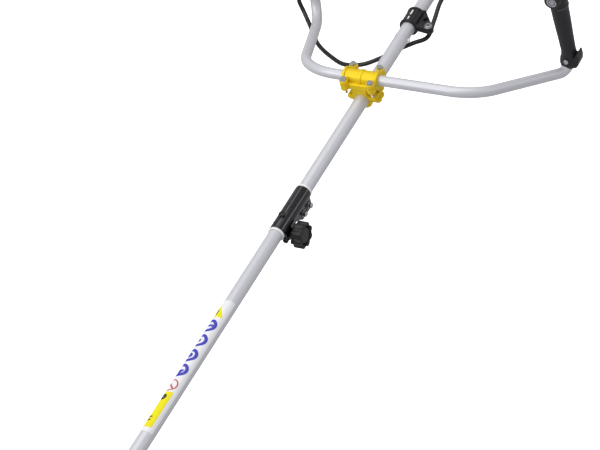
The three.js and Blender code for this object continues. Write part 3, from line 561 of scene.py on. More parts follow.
    def turned_by(self, degrees: float, axis: Axis, about: Triple = (0, 0, 0)) -> "Solid":
        """A copy of the solid, turned about a line through a point."""
        place = Matrix.Translation(about)
        return self.moved(place @ Matrix.Rotation(math.radians(degrees), 4, axis.name) @ place.inverted())

    def aimed(self, at: Triple, toward: Triple) -> "Solid":
        """A fastener moved so that its seat is at a point and its head faces a direction."""
        turn = Vector((0, 0, 1)).rotation_difference(Vector(toward)).to_matrix().to_4x4()
        return self.moved(Matrix.Translation(at) @ turn)

    def beside(self, *others: "Solid") -> "Solid":
        """The solid and others as one set."""
        return self.together([self, *others])

    @staticmethod
    def together(parts: Iterable["Solid"]) -> "Solid":
        """Solids that only touch, as one mesh of separate shells.

        Args:
            parts: the solids.

        Returns:
            The set.
        """
        bm = bmesh.new()
        for part in parts:
            bm.from_mesh(part.mesh)
        mesh = bpy.data.meshes.new("set")
        bm.to_mesh(mesh)
        bm.free()
        return Solid(mesh)


def around(count: int, make: Callable[[float], Solid]) -> list[Solid]:
    """Copies spaced evenly round a circle.

    Args:
        count: how many.
        make: makes one from its angle in degrees.

    Returns:
        The copies.
    """
    return [make(360 * i / count) for i in range(count)]


Tone = tuple[float, float, float, float]


def linear(colour: Triple) -> Tone:
    """A display colour, 0 to 255, as the shader's linear colour.

    Args:
        colour: red, green and blue.

    Returns:
        The linear colour, opaque.
    """
    channels = [c / 255 for c in colour]
    levels = [c / 12.92 if c <= 0.04045 else ((c + 0.055) / 1.055) ** 2.4 for c in channels]
    return (*levels, 1.0)


MIX_FIRST, MIX_SECOND, MIX_RESULT = 6, 7, 2  # the colour sockets of a Mix node
PATCH_DETAIL, GRAIN_DETAIL = 4, 2
PATCH_RANGE = (0.3, 0.7)  # the part of the noise's range that its patches use
EDGE_RANGE = (0.53, 0.66)  # the pointiness at which an edge starts to be bare, and is quite bare
COAT_ROUGHNESS = 0.12
LEAST_ROUGHNESS = 0.04
BUMP_STRENGTH = 0.6


@dataclass(frozen=True)
class Finish:
    """A surface: its colours, gloss, fine relief and the wear along its edges.

    Sizes are millimetres. The colour drifts between two tones in patches, the roughness swings with the
    same patches, a finer grain raises the surface, and bared edges show the wear colour.
    """

    name: str
    slot: str
    tone: Triple
    drift: Triple
    worn: Triple
    roughness: float
    swing: float = 0.06
    metallic: float = 0.0
    grain: float = 0.8
    relief: float = 0.02
    patch: float = 25.0
    wear: float = 0.5
    coat: float = 0.0
    specular: float = 0.5
    stretch: Triple = (1, 1, 1)

    def material(self) -> bpy.types.Material:
        """The finish as a node material, made once.

        Returns:
            The material.
        """
        known = bpy.data.materials.get(self.name)
        if known:
            return known
        material = bpy.data.materials.new(self.name)
        material.use_nodes = True
        tree = material.node_tree
        shader = next(n for n in tree.nodes if n.type == "BSDF_PRINCIPLED")
        for socket, value in (
            ("Metallic", self.metallic),
            ("Coat Weight", self.coat),
            ("Coat Roughness", COAT_ROUGHNESS),
            ("Specular IOR Level", self.specular),
        ):
            shader.inputs[socket].default_value = value
        place = tree.nodes.new("ShaderNodeTexCoord")
        stretch = tree.nodes.new("ShaderNodeMapping")
        stretch.inputs["Scale"].default_value = self.stretch
        tree.links.new(place.outputs["Object"], stretch.inputs["Vector"])
        patches = self.noise(tree, stretch, self.patch, PATCH_DETAIL)
        grain = self.noise(tree, stretch, self.grain, GRAIN_DETAIL)
        tones = self.mix(tree, patches, linear(self.tone), linear(self.drift))
        worn = self.mix(tree, self.edge_mask(tree, patches), linear(self.tone), linear(self.worn))
        tree.links.new(tones.outputs[MIX_RESULT], worn.inputs[MIX_FIRST])
        tree.links.new(worn.outputs[MIX_RESULT], shader.inputs["Base Color"])
        smooth = max(self.roughness - self.swing, LEAST_ROUGHNESS)
        rough = min(self.roughness + self.swing, 1.0)
        gloss = self.spread(tree, patches.outputs["Fac"], PATCH_RANGE, (smooth, rough))
        tree.links.new(gloss.outputs["Result"], shader.inputs["Roughness"])
        bump = tree.nodes.new("ShaderNodeBump")
        bump.inputs["Strength"].default_value = BUMP_STRENGTH
        bump.inputs["Distance"].default_value = self.relief * MM
        tree.links.new(grain.outputs["Fac"], bump.inputs["Height"])
        tree.links.new(bump.outputs["Normal"], shader.inputs["Normal"])
        return material

    @staticmethod
    def noise(
        tree: bpy.types.NodeTree, stretch: bpy.types.Node, size: float, detail: float
    ) -> bpy.types.Node:
        """A noise texture.

        Args:
            tree: the material's nodes.
            stretch: the mapping it reads.
            size: about how wide its features are.
            detail: how many finer layers it has.

        Returns:
            The node.
        """
        noise = tree.nodes.new("ShaderNodeTexNoise")
        noise.inputs["Scale"].default_value = 1 / (size * MM)
        noise.inputs["Detail"].default_value = detail
        tree.links.new(stretch.outputs["Vector"], noise.inputs["Vector"])
        return noise

    @staticmethod
    def mix(tree: bpy.types.NodeTree, factor: bpy.types.Node, first: Tone, second: Tone) -> bpy.types.Node:
        """A colour mix.

        Args:
            tree: the material's nodes.
            factor: the noise or mask that drives it.
            first: the colour at 0.
            second: the colour at 1.

        Returns:
            The node.
        """
        mix = tree.nodes.new("ShaderNodeMix")
        mix.data_type = "RGBA"
        mix.inputs[MIX_FIRST].default_value = first
        mix.inputs[MIX_SECOND].default_value = second
        tree.links.new(factor.outputs[0], mix.inputs["Factor"])
        return mix

    @staticmethod
    def spread(
        tree: bpy.types.NodeTree, value: bpy.types.NodeSocket, source: Pair, target: Pair
    ) -> bpy.types.Node:
        """Spreads a value from one range over another.

        Args:
            tree: the material's nodes.
            value: the socket it reads.
            source: the range that is read.
            target: the range that is given.

        Returns:
            The node.
        """
        spread = tree.nodes.new("ShaderNodeMapRange")
        spread.inputs["From Min"].default_value, spread.inputs["From Max"].default_value = source
        spread.inputs["To Min"].default_value, spread.inputs["To Max"].default_value = target
        tree.links.new(value, spread.inputs["Value"])
        return spread

    def edge_mask(self, tree: bpy.types.NodeTree, patches: bpy.types.Node) -> bpy.types.Node:
        """How worn each point is: bare on sharp outer edges, broken up by the patches.

        Args:
            tree: the material's nodes.
            patches: the noise that breaks the wear up.

        Returns:
            The node.
        """
        geometry = tree.nodes.new("ShaderNodeNewGeometry")
        edge = self.spread(tree, geometry.outputs["Pointiness"], EDGE_RANGE, (0.0, self.wear))
        broken = tree.nodes.new("ShaderNodeMath")
        broken.operation = "MULTIPLY"
        tree.links.new(edge.outputs["Result"], broken.inputs[0])
        tree.links.new(patches.outputs[0], broken.inputs[1])
        return broken


SILVER_PAINT = Finish(
    "silver_paint", "silver_paint", (216, 216, 223), (208, 208, 216), (170, 170, 176), 0.32,
    metallic=0.55, grain=0.5, relief=0.006, patch=60, wear=0.3, coat=0.25,
)
YELLOW_PAINT = Finish(
    "yellow_paint", "yellow_paint", (255, 206, 0), (250, 192, 0), (255, 222, 70), 0.42,
    grain=1.2, relief=0.03, patch=18, wear=0.5, coat=0.1, specular=0.3,
)
BLACK_METAL = Finish(
    "black_enamel", "black_metal", (9, 9, 12), (15, 15, 19), (80, 80, 86), 0.26,
    grain=1.0, relief=0.012, patch=14, wear=0.6, coat=0.2, specular=0.4,
)
BLACK_PLASTIC = Finish(
    "black_moulding", "black_plastic", (15, 15, 18), (22, 22, 25), (66, 66, 70), 0.42,
    grain=0.5, relief=0.03, patch=20, wear=0.5, specular=0.45,
)
GRIP_RUBBER = Finish(
    "grip_moulding", "black_plastic", (33, 33, 36), (40, 40, 43), (78, 78, 82), 0.46,
    grain=0.35, relief=0.035, patch=26, wear=0.35, specular=0.35,
)
CABLE_RUBBER = Finish(
    "cable_sleeve", "rubber", (14, 14, 16), (24, 24, 26), (84, 84, 88), 0.38,
    grain=0.9, relief=0.03, patch=9, wear=0.6,
)
SOFT_RUBBER = Finish(
    "soft_rubber", "rubber", (20, 20, 21), (30, 30, 31), (60, 60, 62), 0.7,
    grain=0.4, relief=0.03, patch=12, wear=0.3, specular=0.3,
)
ZINC = Finish(
    "zinc_plate", "steel", (206, 206, 210), (178, 178, 184), (236, 236, 240), 0.24,
    metallic=1.0, grain=0.35, relief=0.008, patch=5, wear=0.5,
)
STEEL = Finish(
    "turned_steel", "steel", (168, 169, 173), (140, 141, 146), (214, 215, 218), 0.3,
    metallic=1.0, grain=0.3, relief=0.01, patch=14, wear=0.5, stretch=(0.2, 1, 1),
)
ALUMINIUM = Finish(
    "machined_aluminium", "aluminium", (186, 188, 192), (160, 163, 168), (222, 223, 226), 0.36,
    metallic=1.0, grain=0.5, relief=0.02, patch=16, wear=0.5,
)
CAST = Finish(
    "die_cast", "cast", (142, 145, 150), (118, 121, 126), (188, 190, 194), 0.52,
    metallic=0.9, grain=1.3, relief=0.08, patch=20, wear=0.6,
)
# A light grey finish that paints highlights: the lengthwise highlights along the black clamp's ribs and the
# glossy band round the left grip's top.
PAINTED_HIGHLIGHT_GREY = Finish(
    "rubbed_enamel", "black_metal", (92, 92, 98), (76, 76, 82), (140, 140, 146), 0.36,
    metallic=0.2, grain=0.7, relief=0.01, patch=9, wear=0.6,
)
YELLOW_PLASTIC = Finish(
    "yellow_moulding", "yellow_plastic", (246, 204, 4), (238, 190, 0), (255, 232, 120), 0.4,
    grain=0.5, relief=0.025, patch=30, wear=0.4, coat=0.15,
)
TANK_PLASTIC = Finish(
    "tank_moulding", "tank_plastic", (222, 219, 206), (206, 202, 186), (236, 234, 226), 0.48,
    grain=1.4, relief=0.03, patch=24, wear=0.3,
)
NYLON = Finish(
    "nylon_line", "nylon_line", (224, 88, 26), (206, 72, 18), (240, 130, 70), 0.34,
    grain=0.6, relief=0.01, patch=10, wear=0.3,
)
LABEL_WHITE = Finish(
    "label_white", "silver_paint", (246, 246, 248), (238, 238, 241), (225, 225, 228), 0.4,
    grain=0.6, relief=0.004, patch=30, wear=0.2,
)
LABEL_BLUE = Finish(
    "label_blue", "silver_paint", (52, 52, 178), (66, 64, 190), (120, 118, 205), 0.4,
    grain=0.6, relief=0.004, patch=8, wear=0.2,
)
LABEL_YELLOW = Finish(
    "label_yellow", "yellow_paint", (246, 236, 0), (238, 224, 0), (255, 244, 90), 0.45,
    grain=0.6, relief=0.004, patch=10, wear=0.2, specular=0.25,
)
LABEL_RED = Finish(
    "label_red", "silver_paint", (206, 70, 66), (190, 60, 58), (226, 120, 116), 0.4,
    grain=0.6, relief=0.004, patch=8, wear=0.2,
)
LABEL_DARK = Finish(
    "label_dark", "silver_paint", (46, 44, 40), (58, 56, 50), (96, 94, 88), 0.45,
    grain=0.6, relief=0.004, patch=8, wear=0.2,
)
ROPE = Finish(
    "starter_cord", "nylon_line", (232, 230, 222), (206, 202, 192), (240, 238, 232), 0.75,
    grain=0.4, relief=0.05, patch=4, wear=0.2, specular=0.2,
)


class Workshop:
    """Puts finished pieces into the frame and reports each one."""

    def __init__(self) -> None:
        """Reads where the drive tube and the cutting head are from the frame."""
        low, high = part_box("upper_tube")
        spin = next(j for j in frame["joints"] if j["name"] == "head_spin")
        axis, pivot = Vector(spin["axis"]), Vector(spin["pos_m"])
        height = (low.z + high.z) / 2
        gear_x = pivot.x + (height - pivot.z) * axis.x / axis.z
        tilt = math.atan2(axis.x, axis.z)
        self.machine = Matrix.Translation((0, 0, height)) @ Matrix.Scale(MM, 4)
        self.head = self.machine @ Matrix.Translation((gear_x / MM, 0, 0)) @ Matrix.Rotation(tilt, 4, "Y")

    def span(self, node: str) -> tuple[Vector, Vector]:
        """A CAD node's lowest and highest corners, in millimetres about the drive tube's axis.

        Args:
            node: the node's name.

        Returns:
            The two corners.
        """
        low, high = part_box(node)
        back = self.machine.inverted()
        return back @ low, back @ high

    def add(
        self, name: str, solid: Solid, finish: Finish, on_head: bool = False, crease: float = 36
    ) -> bpy.types.Object:
        """Adds a piece to the scene that rides on nothing yet.

        Args:
            name: the piece's name.
            solid: its shape.
            finish: its surface.
            on_head: True where it was built about the cutting head's axis.
            crease: the angle above which an edge stays sharp, in degrees.

        Returns:
            The piece.
        """
        mesh = solid.mesh.copy()
        mesh.name = name
        mesh.transform(self.head if on_head else self.machine)
        mesh.materials.clear()
        mesh.materials.append(finish.material())
        mesh.set_sharp_from_angle(angle=math.radians(crease))
        for polygon in mesh.polygons:
            polygon.use_smooth = True
            polygon.material_index = 0
        piece = bpy.data.objects.new(name, mesh)
        bpy.context.scene.collection.objects.link(piece)
        LOG.info("%s: %d faces", name, len(mesh.polygons))
        return piece

    def place(
        self, name: str, solid: Solid, finish: Finish, body: str = "engine_unit", on_head: bool = False
    ) -> None:
        """Adds a small piece that only the looks have, riding on a body; the rest is as in add()."""
        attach(self.add(name, solid, finish, on_head), body)

    def stand_in(
        self,
        node: str,
        solid: Solid,
        finish: Finish,
        body: str = "engine_unit",
        on_head: bool = False,
        crease: float = 36,
    ) -> None:
        """Adds a piece that stands for a CAD node.

        Args:
            node: the CAD node's name; the piece's name is the same with _finish behind it.
            solid: its shape.
            finish: its surface.
            body: the body it moves with.
            on_head: as in add().
            crease: as in add().
        """
        piece = self.add(node + "_finish", solid, finish, on_head, crease)
        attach(piece, body)
        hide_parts(node)

    def refined(self, node: str, edge: float, steps: int = 3, angle: float = 32, merge: bool = True) -> Solid:
        """A CAD node's shape with its edges rounded, in millimetres.

        Args:
            node: the node's name.
            edge: the rounding.
            steps: as in softened().
            angle: as in softened().
            merge: as in softened().

        Returns:
            The rounded shape.
        """
        mesh = frame["nodes"][node].data.copy()
        mesh.transform(self.machine.inverted())
        mesh.materials.clear()
        return Solid(mesh).softened(edge, steps, angle, merge)


class Fasteners:
    """Bolts, nuts and screws, made about the origin with their heads towards +Z, then turned into place."""

    @staticmethod
    def hexagon(across: float, low: float, high: float) -> Solid:
        """A hexagonal block whose corners are turned down at its top.

        Args:
            across: its width across flats.
            low: where it starts.
            high: where it ends.

        Returns:
            The block.
        """
        radius = across / math.sqrt(3)
        block = Solid.slab(Z, arc((0, 0), radius, 0, 300, 5), low, high, 0)
        cone = [(0, low - 1), (radius + 1, low - 1), (radius + 0.2, high - radius * 0.3)]
        return block.common(Solid.turned(Z, [*cone, (radius * 0.84, high + 0.01), (0, high + 0.01)]))

    @staticmethod
    def thread(radius: float, low: float, high: float, pitch: float = 1.0) -> Solid:
        """A threaded stud, as a row of grooves with a chamfered end.

        Args:
            radius: its radius.
            low: where it starts.
            high: where it ends.
            pitch: from one groove to the next.

        Returns:
            The stud.
        """
        count = max(int((high - low) / pitch), 1)
        outline: list[Pair] = [(0, low), (radius - 0.7, low)]
        for i in range(count):
            at = low + 0.4 + (high - low - 0.4) * i / count
            outline += [(radius - 0.55, at), (radius, at + pitch * 0.5)]
        return Solid.turned(Z, [*outline, (radius, high), (0, high)], sides=32)

    @classmethod
    def hex_bolt(cls, across: float, head: float, shank: float, length: float) -> Solid:
        """A hexagon-head bolt with its washer: the head stands on z = 0 and the shank hangs below.

        Args:
            across: its width across flats.
            head: the height of the head's top.
            shank: the stud's radius.
            length: how far the stud hangs.

        Returns:
            The bolt.
        """
        washer = Solid.pipe(Z, across * 0.62, shank, 0, 1.0, edge=0.25, sides=40)
        stud = cls.thread(shank, -length, 0.5)
        return cls.hexagon(across, 1.0, head).beside(washer, stud)

    @classmethod
    def socket_bolt(cls, radius: float, head: float, shank: float, length: float, key: float) -> Solid:
        """A round-headed bolt with a hexagonal socket.

        Args:
            radius: the head's radius.
            head: the head's height.
            shank: the stud's radius.
            length: how far the stud hangs.
            key: the socket's width across flats.

        Returns:
            The bolt.
        """
        cap = Solid.rod(Z, radius, 0, head, edge=0.7)
        recess = Solid.slab(Z, arc((0, 0), key / math.sqrt(3), 0, 300, 5), head - 2.6, head + 1, 0)
        return cap.cut(recess).softened(0.25).beside(cls.thread(shank, -length, 0.4))

    @staticmethod
    def cross_screw(radius: float, head: float, length: float) -> Solid:
        """A domed screw with a cross recess.

        Args:
            radius: the head's radius.
            head: the head's height.
            length: how far the stem hangs.

        Returns:
            The screw.
        """
        dome = [(0, 0), (radius, 0), (radius, head * 0.3), (radius * 0.86, head * 0.75), (radius * 0.5, head)]
        cap = Solid.turned(Z, [*dome, (0, head * 1.08)], sides=40)
        arm, depth = radius * 0.62, head * 0.45
        slots = [
            Solid.block((-arm, -radius * 0.13, depth), (arm, radius * 0.13, head + 1), 0),
            Solid.block((-radius * 0.13, -arm, depth), (radius * 0.13, arm, head + 1), 0),
        ]
        stud = Solid.rod(Z, radius * 0.5, -length, 0.2, edge=0.3, sides=24)
        return cap.cut(*slots).beside(stud)


class Studio:
    """The floor, the lights and the camera."""

    def __init__(self) -> None:
        """Keeps the scene that everything is added to."""
        self.scene = bpy.context.scene

    def camera(self, view: "Viewpoint") -> None:
        """Adds the camera.

        Args:
            view: where it stands.
        """
        lens = bpy.data.cameras.new("camera")
        lens.lens = view.lens
        lens.sensor_width = 36
        lens.clip_end = 100
        azimuth, elevation = math.radians(view.azimuth), math.radians(view.elevation)
        flat = math.cos(elevation)
        back = Vector((math.sin(azimuth) * flat, -math.cos(azimuth) * flat, math.sin(elevation)))
        level = Vector((math.cos(azimuth), math.sin(azimuth), 0))
        roll = Matrix.Rotation(math.radians(view.roll), 3, back)
        right = roll @ level
        up = back.cross(right)
        turn = Matrix((right, up, back)).transposed().to_4x4()
        holder = bpy.data.objects.new("camera", lens)
        holder.matrix_world = Matrix.Translation(Vector(view.aim) + back * view.distance) @ turn
        self.scene.collection.objects.link(holder)
        self.scene.camera = holder

    def floor(self, reach: float = 30) -> None:
        """Adds a plain white floor that glows a little, so that shadows stay faint.

        Args:
            reach: half its width, in metres.
        """
        bm = bmesh.new()
        bmesh.ops.create_grid(bm, x_segments=2, y_segments=2, size=reach)
        mesh = bpy.data.meshes.new("floor")
        bm.to_mesh(mesh)
        bm.free()
        paper = bpy.data.materials.new("floor_paper")
        paper.use_nodes = True
        shader = next(n for n in paper.node_tree.nodes if n.type == "BSDF_PRINCIPLED")
        shader.inputs["Base Color"].default_value = (0.9, 0.9, 0.9, 1)
        shader.inputs["Roughness"].default_value = 0.9
        shader.inputs["Specular IOR Level"].default_value = 0.1
        shader.inputs["Emission Color"].default_value = (1, 1, 1, 1)
        shader.inputs["Emission Strength"].default_value = 0.8
        mesh.materials.append(paper)
        floor = bpy.data.objects.new("floor", mesh)
        floor.location.z = -0.001
        floor.visible_diffuse = False
        floor.visible_glossy = False
        self.scene.collection.objects.link(floor)

    def panel(self, lamp: "Panel") -> None:
        """Adds one soft light panel.

        Args:
            lamp: its place, aim, size and power.
        """
        light = bpy.data.lights.new(lamp.name, "AREA")
        light.shape = "RECTANGLE"
        light.size, light.size_y = lamp.size
        light.energy = lamp.power
        holder = bpy.data.objects.new(lamp.name, light)
        holder.location = lamp.place
        away = Vector(lamp.target) - Vector(lamp.place)
        holder.rotation_euler = away.to_track_quat("-Z", "Y").to_euler()
        self.scene.collection.objects.link(holder)

    def lights(self) -> None:
        """Adds the room's light and the soft panels."""
        world = bpy.data.worlds.new("room")
        world.use_nodes = True
        background = next(n for n in world.node_tree.nodes if n.type == "BACKGROUND")
        background.inputs["Color"].default_value = ROOM_COLOUR
        background.inputs["Strength"].default_value = ROOM_STRENGTH
        self.scene.world = world
        for lamp in PANELS:
            self.panel(lamp)
        self.scene.view_settings.view_transform = "Standard"


@dataclass(frozen=True)
class Panel:
    """A rectangular soft light: metres and watts."""

    name: str
    place: Triple
    target: Triple
    size: Pair
    power: float


ROOM_COLOUR = (0.97, 0.98, 1.0, 1)
ROOM_STRENGTH = 0.5
PANELS = (
    Panel("overhead", (-0.6, 0.6, 3.6), (-0.7, 0, 0.1), (4.5, 3.0), 62),
    Panel("key", (-3.2, 2.2, 2.6), (-0.7, 0, 0.15), (2.2, 1.4), 44),
    Panel("fill", (0.5, -3.6, 1.8), (-0.6, 0, 0.15), (3.0, 1.2), 12),
)


@dataclass(frozen=True)
class Viewpoint:
    """Where the camera stands: angles in degrees, distances in metres, the lens in millimetres."""

    azimuth: float = -53.379
    elevation: float = 41.574
    roll: float = -15.838
    aim: Triple = (-0.75324, 0.06744, 0.00241)
    distance: float = 4.6204
    lens: float = 152.5


@dataclass
class DriveTube:
    """The two drive tubes, their drive shafts and bush, and the tie on them."""

    shop: Workshop
    radius: float = 13.0
    wall: float = 1.5
    tie_x: float = -383.0

    def build(self) -> None:
        """Builds every piece of the drive tube."""
        for node, body in (("upper_tube", "engine_unit"), ("lower_tube", "lower_unit")):
            low, high = self.shop.span(node)
            tube = Solid.pipe(X, self.radius, self.radius - self.wall, low.x, high.x, edge=0.5, sides=96)
            self.shop.stand_in(node, tube, SILVER_PAINT, body)
        tie = Solid.pipe(
            X, self.radius + 0.6, self.radius + 0.05, self.tie_x - 2.4, self.tie_x + 2.4, edge=0.3
        )
        lock = Solid.block(
            (self.tie_x - 3, -self.radius - 4, -5), (self.tie_x + 3, -self.radius + 0.5, 1), 0.8
        )
        self.shop.place("cable_tie", tie, SILVER_PAINT)
        self.shop.place("cable_tie_lock", lock, LABEL_WHITE)
        self.build_shafts()

    def build_shafts(self) -> None:
        """Builds the drive shafts inside, with splined ends."""
        for node, body in (("upper_drive_shaft", "upper_drive"), ("lower_drive_shaft", "lower_drive")):
            self.shop.stand_in(node, self.shop.refined(node, 0.4), STEEL, body)
        bush = self.shop.refined("lower_bush", 0.5)
        self.shop.stand_in("lower_bush", bush, BLACK_PLASTIC, "lower_unit")


@dataclass
class Label:
    """The band of plain signs wrapped round the lower tube: shapes only, no lettering."""

    shop: Workshop
    tube: float = 13.0
    start: float = -1399.0
    end: float = -1096.0
    facing: float = 29.0
    half_wrap: float = 112.0
    short_wrap: float = 92.0
    film: float = 0.12
    film_lift: float = 0.05
    sign_lift: float = 0.2
    mark_lift: float = 0.35
    hazard: float = -1123.0
    discs: tuple[float, ...] = (-1157.0, -1192.0, -1227.0, -1261.5)
    ban: float = -1296.0
    plate_end: float = -1311.0

    def build(self) -> None:
        """Builds the white film and the signs on it."""
        reach = math.radians(self.half_wrap) * self.tube
        edge = -math.radians(self.short_wrap) * self.tube
        band = self.oblong(self.start, self.end, edge, reach)
        self.stick("label_band", [band], LABEL_WHITE, self.film_lift)
        side, top = 15.0, self.hazard
        triangle = [(top - 13, -side), (top + 13, 0), (top - 13, side)]
        self.stick("label_triangle", [self.sheet(triangle)], LABEL_YELLOW, self.sign_lift)
        mark = self.oblong(top - 8, top + 4, -1.6, 1.6)
        self.stick("label_triangle_mark", [mark], LABEL_DARK, self.mark_lift)
        first, second, third, fourth = self.discs
        signs = [
            *[self.ring(x, 14.5, 8.6) for x in self.discs],
            self.oblong(first - 2.4, first + 2.4, -9, 9),
            self.ring(third, 5.4, 0.5),
            self.sheet([(fourth - 9, -3), (fourth + 1, -8), (fourth + 1, 8), (fourth - 9, 3)]),
            self.ring(second, 3.2, 0.5),
        ]
        self.stick("label_discs", signs, LABEL_BLUE, self.sign_lift)
        ban = self.ban
        slash = [(ban - 9.5, -7.5), (ban - 7.5, -9.5), (ban + 9.5, 7.5), (ban + 7.5, 9.5)]
        self.stick("label_ban", [self.ring(ban, 13, 10.8), self.sheet(slash)], LABEL_RED, self.sign_lift)
        low, high = self.start + 9, self.plate_end
        plate = rounded([(low, -13.5), (high, -13.5), (high, 17.5), (low, 17.5)], 2, 3)
        self.stick("label_plate", [self.sheet(plate)], LABEL_YELLOW, self.sign_lift)
        marks = [self.ring(high - 12, 6.5, 1.2)]
        marks += [self.oblong(x, x + 3, -4, 9) for x in (high - 58, high - 65)]
        self.stick("label_plate_marks", marks, LABEL_DARK, self.mark_lift)

    def oblong(self, start: float, end: float, low: float, high: float) -> bmesh.types.BMesh:
        """A flat patch between two places along the tube and two around it."""
        return self.sheet([(start, low), (end, low), (end, high), (start, high)])

    def sheet(self, outline: Outline) -> bmesh.types.BMesh:
        """A flat patch of (along, around) points, sliced finely enough to wrap.

        Args:
            outline: its corners.

        Returns:
            The patch.
        """
        bm = bmesh.new()
        bm.faces.new([bm.verts.new((u, v, 0)) for u, v in outline])
        highest = max(v for _, v in outline)
        cut = min(v for _, v in outline) + 1.0
        while cut < highest:
            geometry = [*bm.verts, *bm.edges, *bm.faces]
            bmesh.ops.bisect_plane(bm, geom=geometry, plane_co=(0, cut, 0), plane_no=(0, 1, 0))
            cut += 1.0
        return bm

    def ring(self, centre: float, outer: float, inner: float) -> bmesh.types.BMesh:
        """A flat ring about a point on the label's middle line.

        Args:
            centre: the point, along the tube.
            outer: the outer radius.
            inner: the inner radius.

        Returns:
            The ring.
        """
        bm = bmesh.new()
        rims = [arc((centre, 0), inner + (outer - inner) * k / 6, 0, 360, 48)[:-1] for k in range(7)]
        made = [[bm.verts.new((u, v, 0)) for u, v in rim] for rim in rims]
        for a, b in zip(made, made[1:]):
            for i in range(48):
                j = (i + 1) % 48
                bm.faces.new((a[i], a[j], b[j], b[i]))
        return bm

    def stick(self, name: str, patches: Sequence[bmesh.types.BMesh], finish: Finish, lift: float) -> None:
        """Wraps flat patches round the tube as thin films and places them.

        Args:
            name: the piece's name.
            patches: the flat patches; they are used up.
            finish: its surface.
            lift: how far it stands off the tube.
        """
        shells = []
        for bm in patches:
            geometry = bmesh.ops.extrude_face_region(bm, geom=list(bm.faces))["geom"]
            raised = {v for v in geometry if isinstance(v, bmesh.types.BMVert)}
            for vert in bm.verts:
                radius = self.tube + lift + (self.film if vert in raised else 0)
                angle = math.radians(self.facing) + vert.co.y / self.tube
                vert.co = (vert.co.x, radius * math.sin(angle), radius * math.cos(angle))
            shells.append(Solid.from_bmesh(bm))
        self.shop.place(name, Solid.together(shells), finish, "lower_unit")


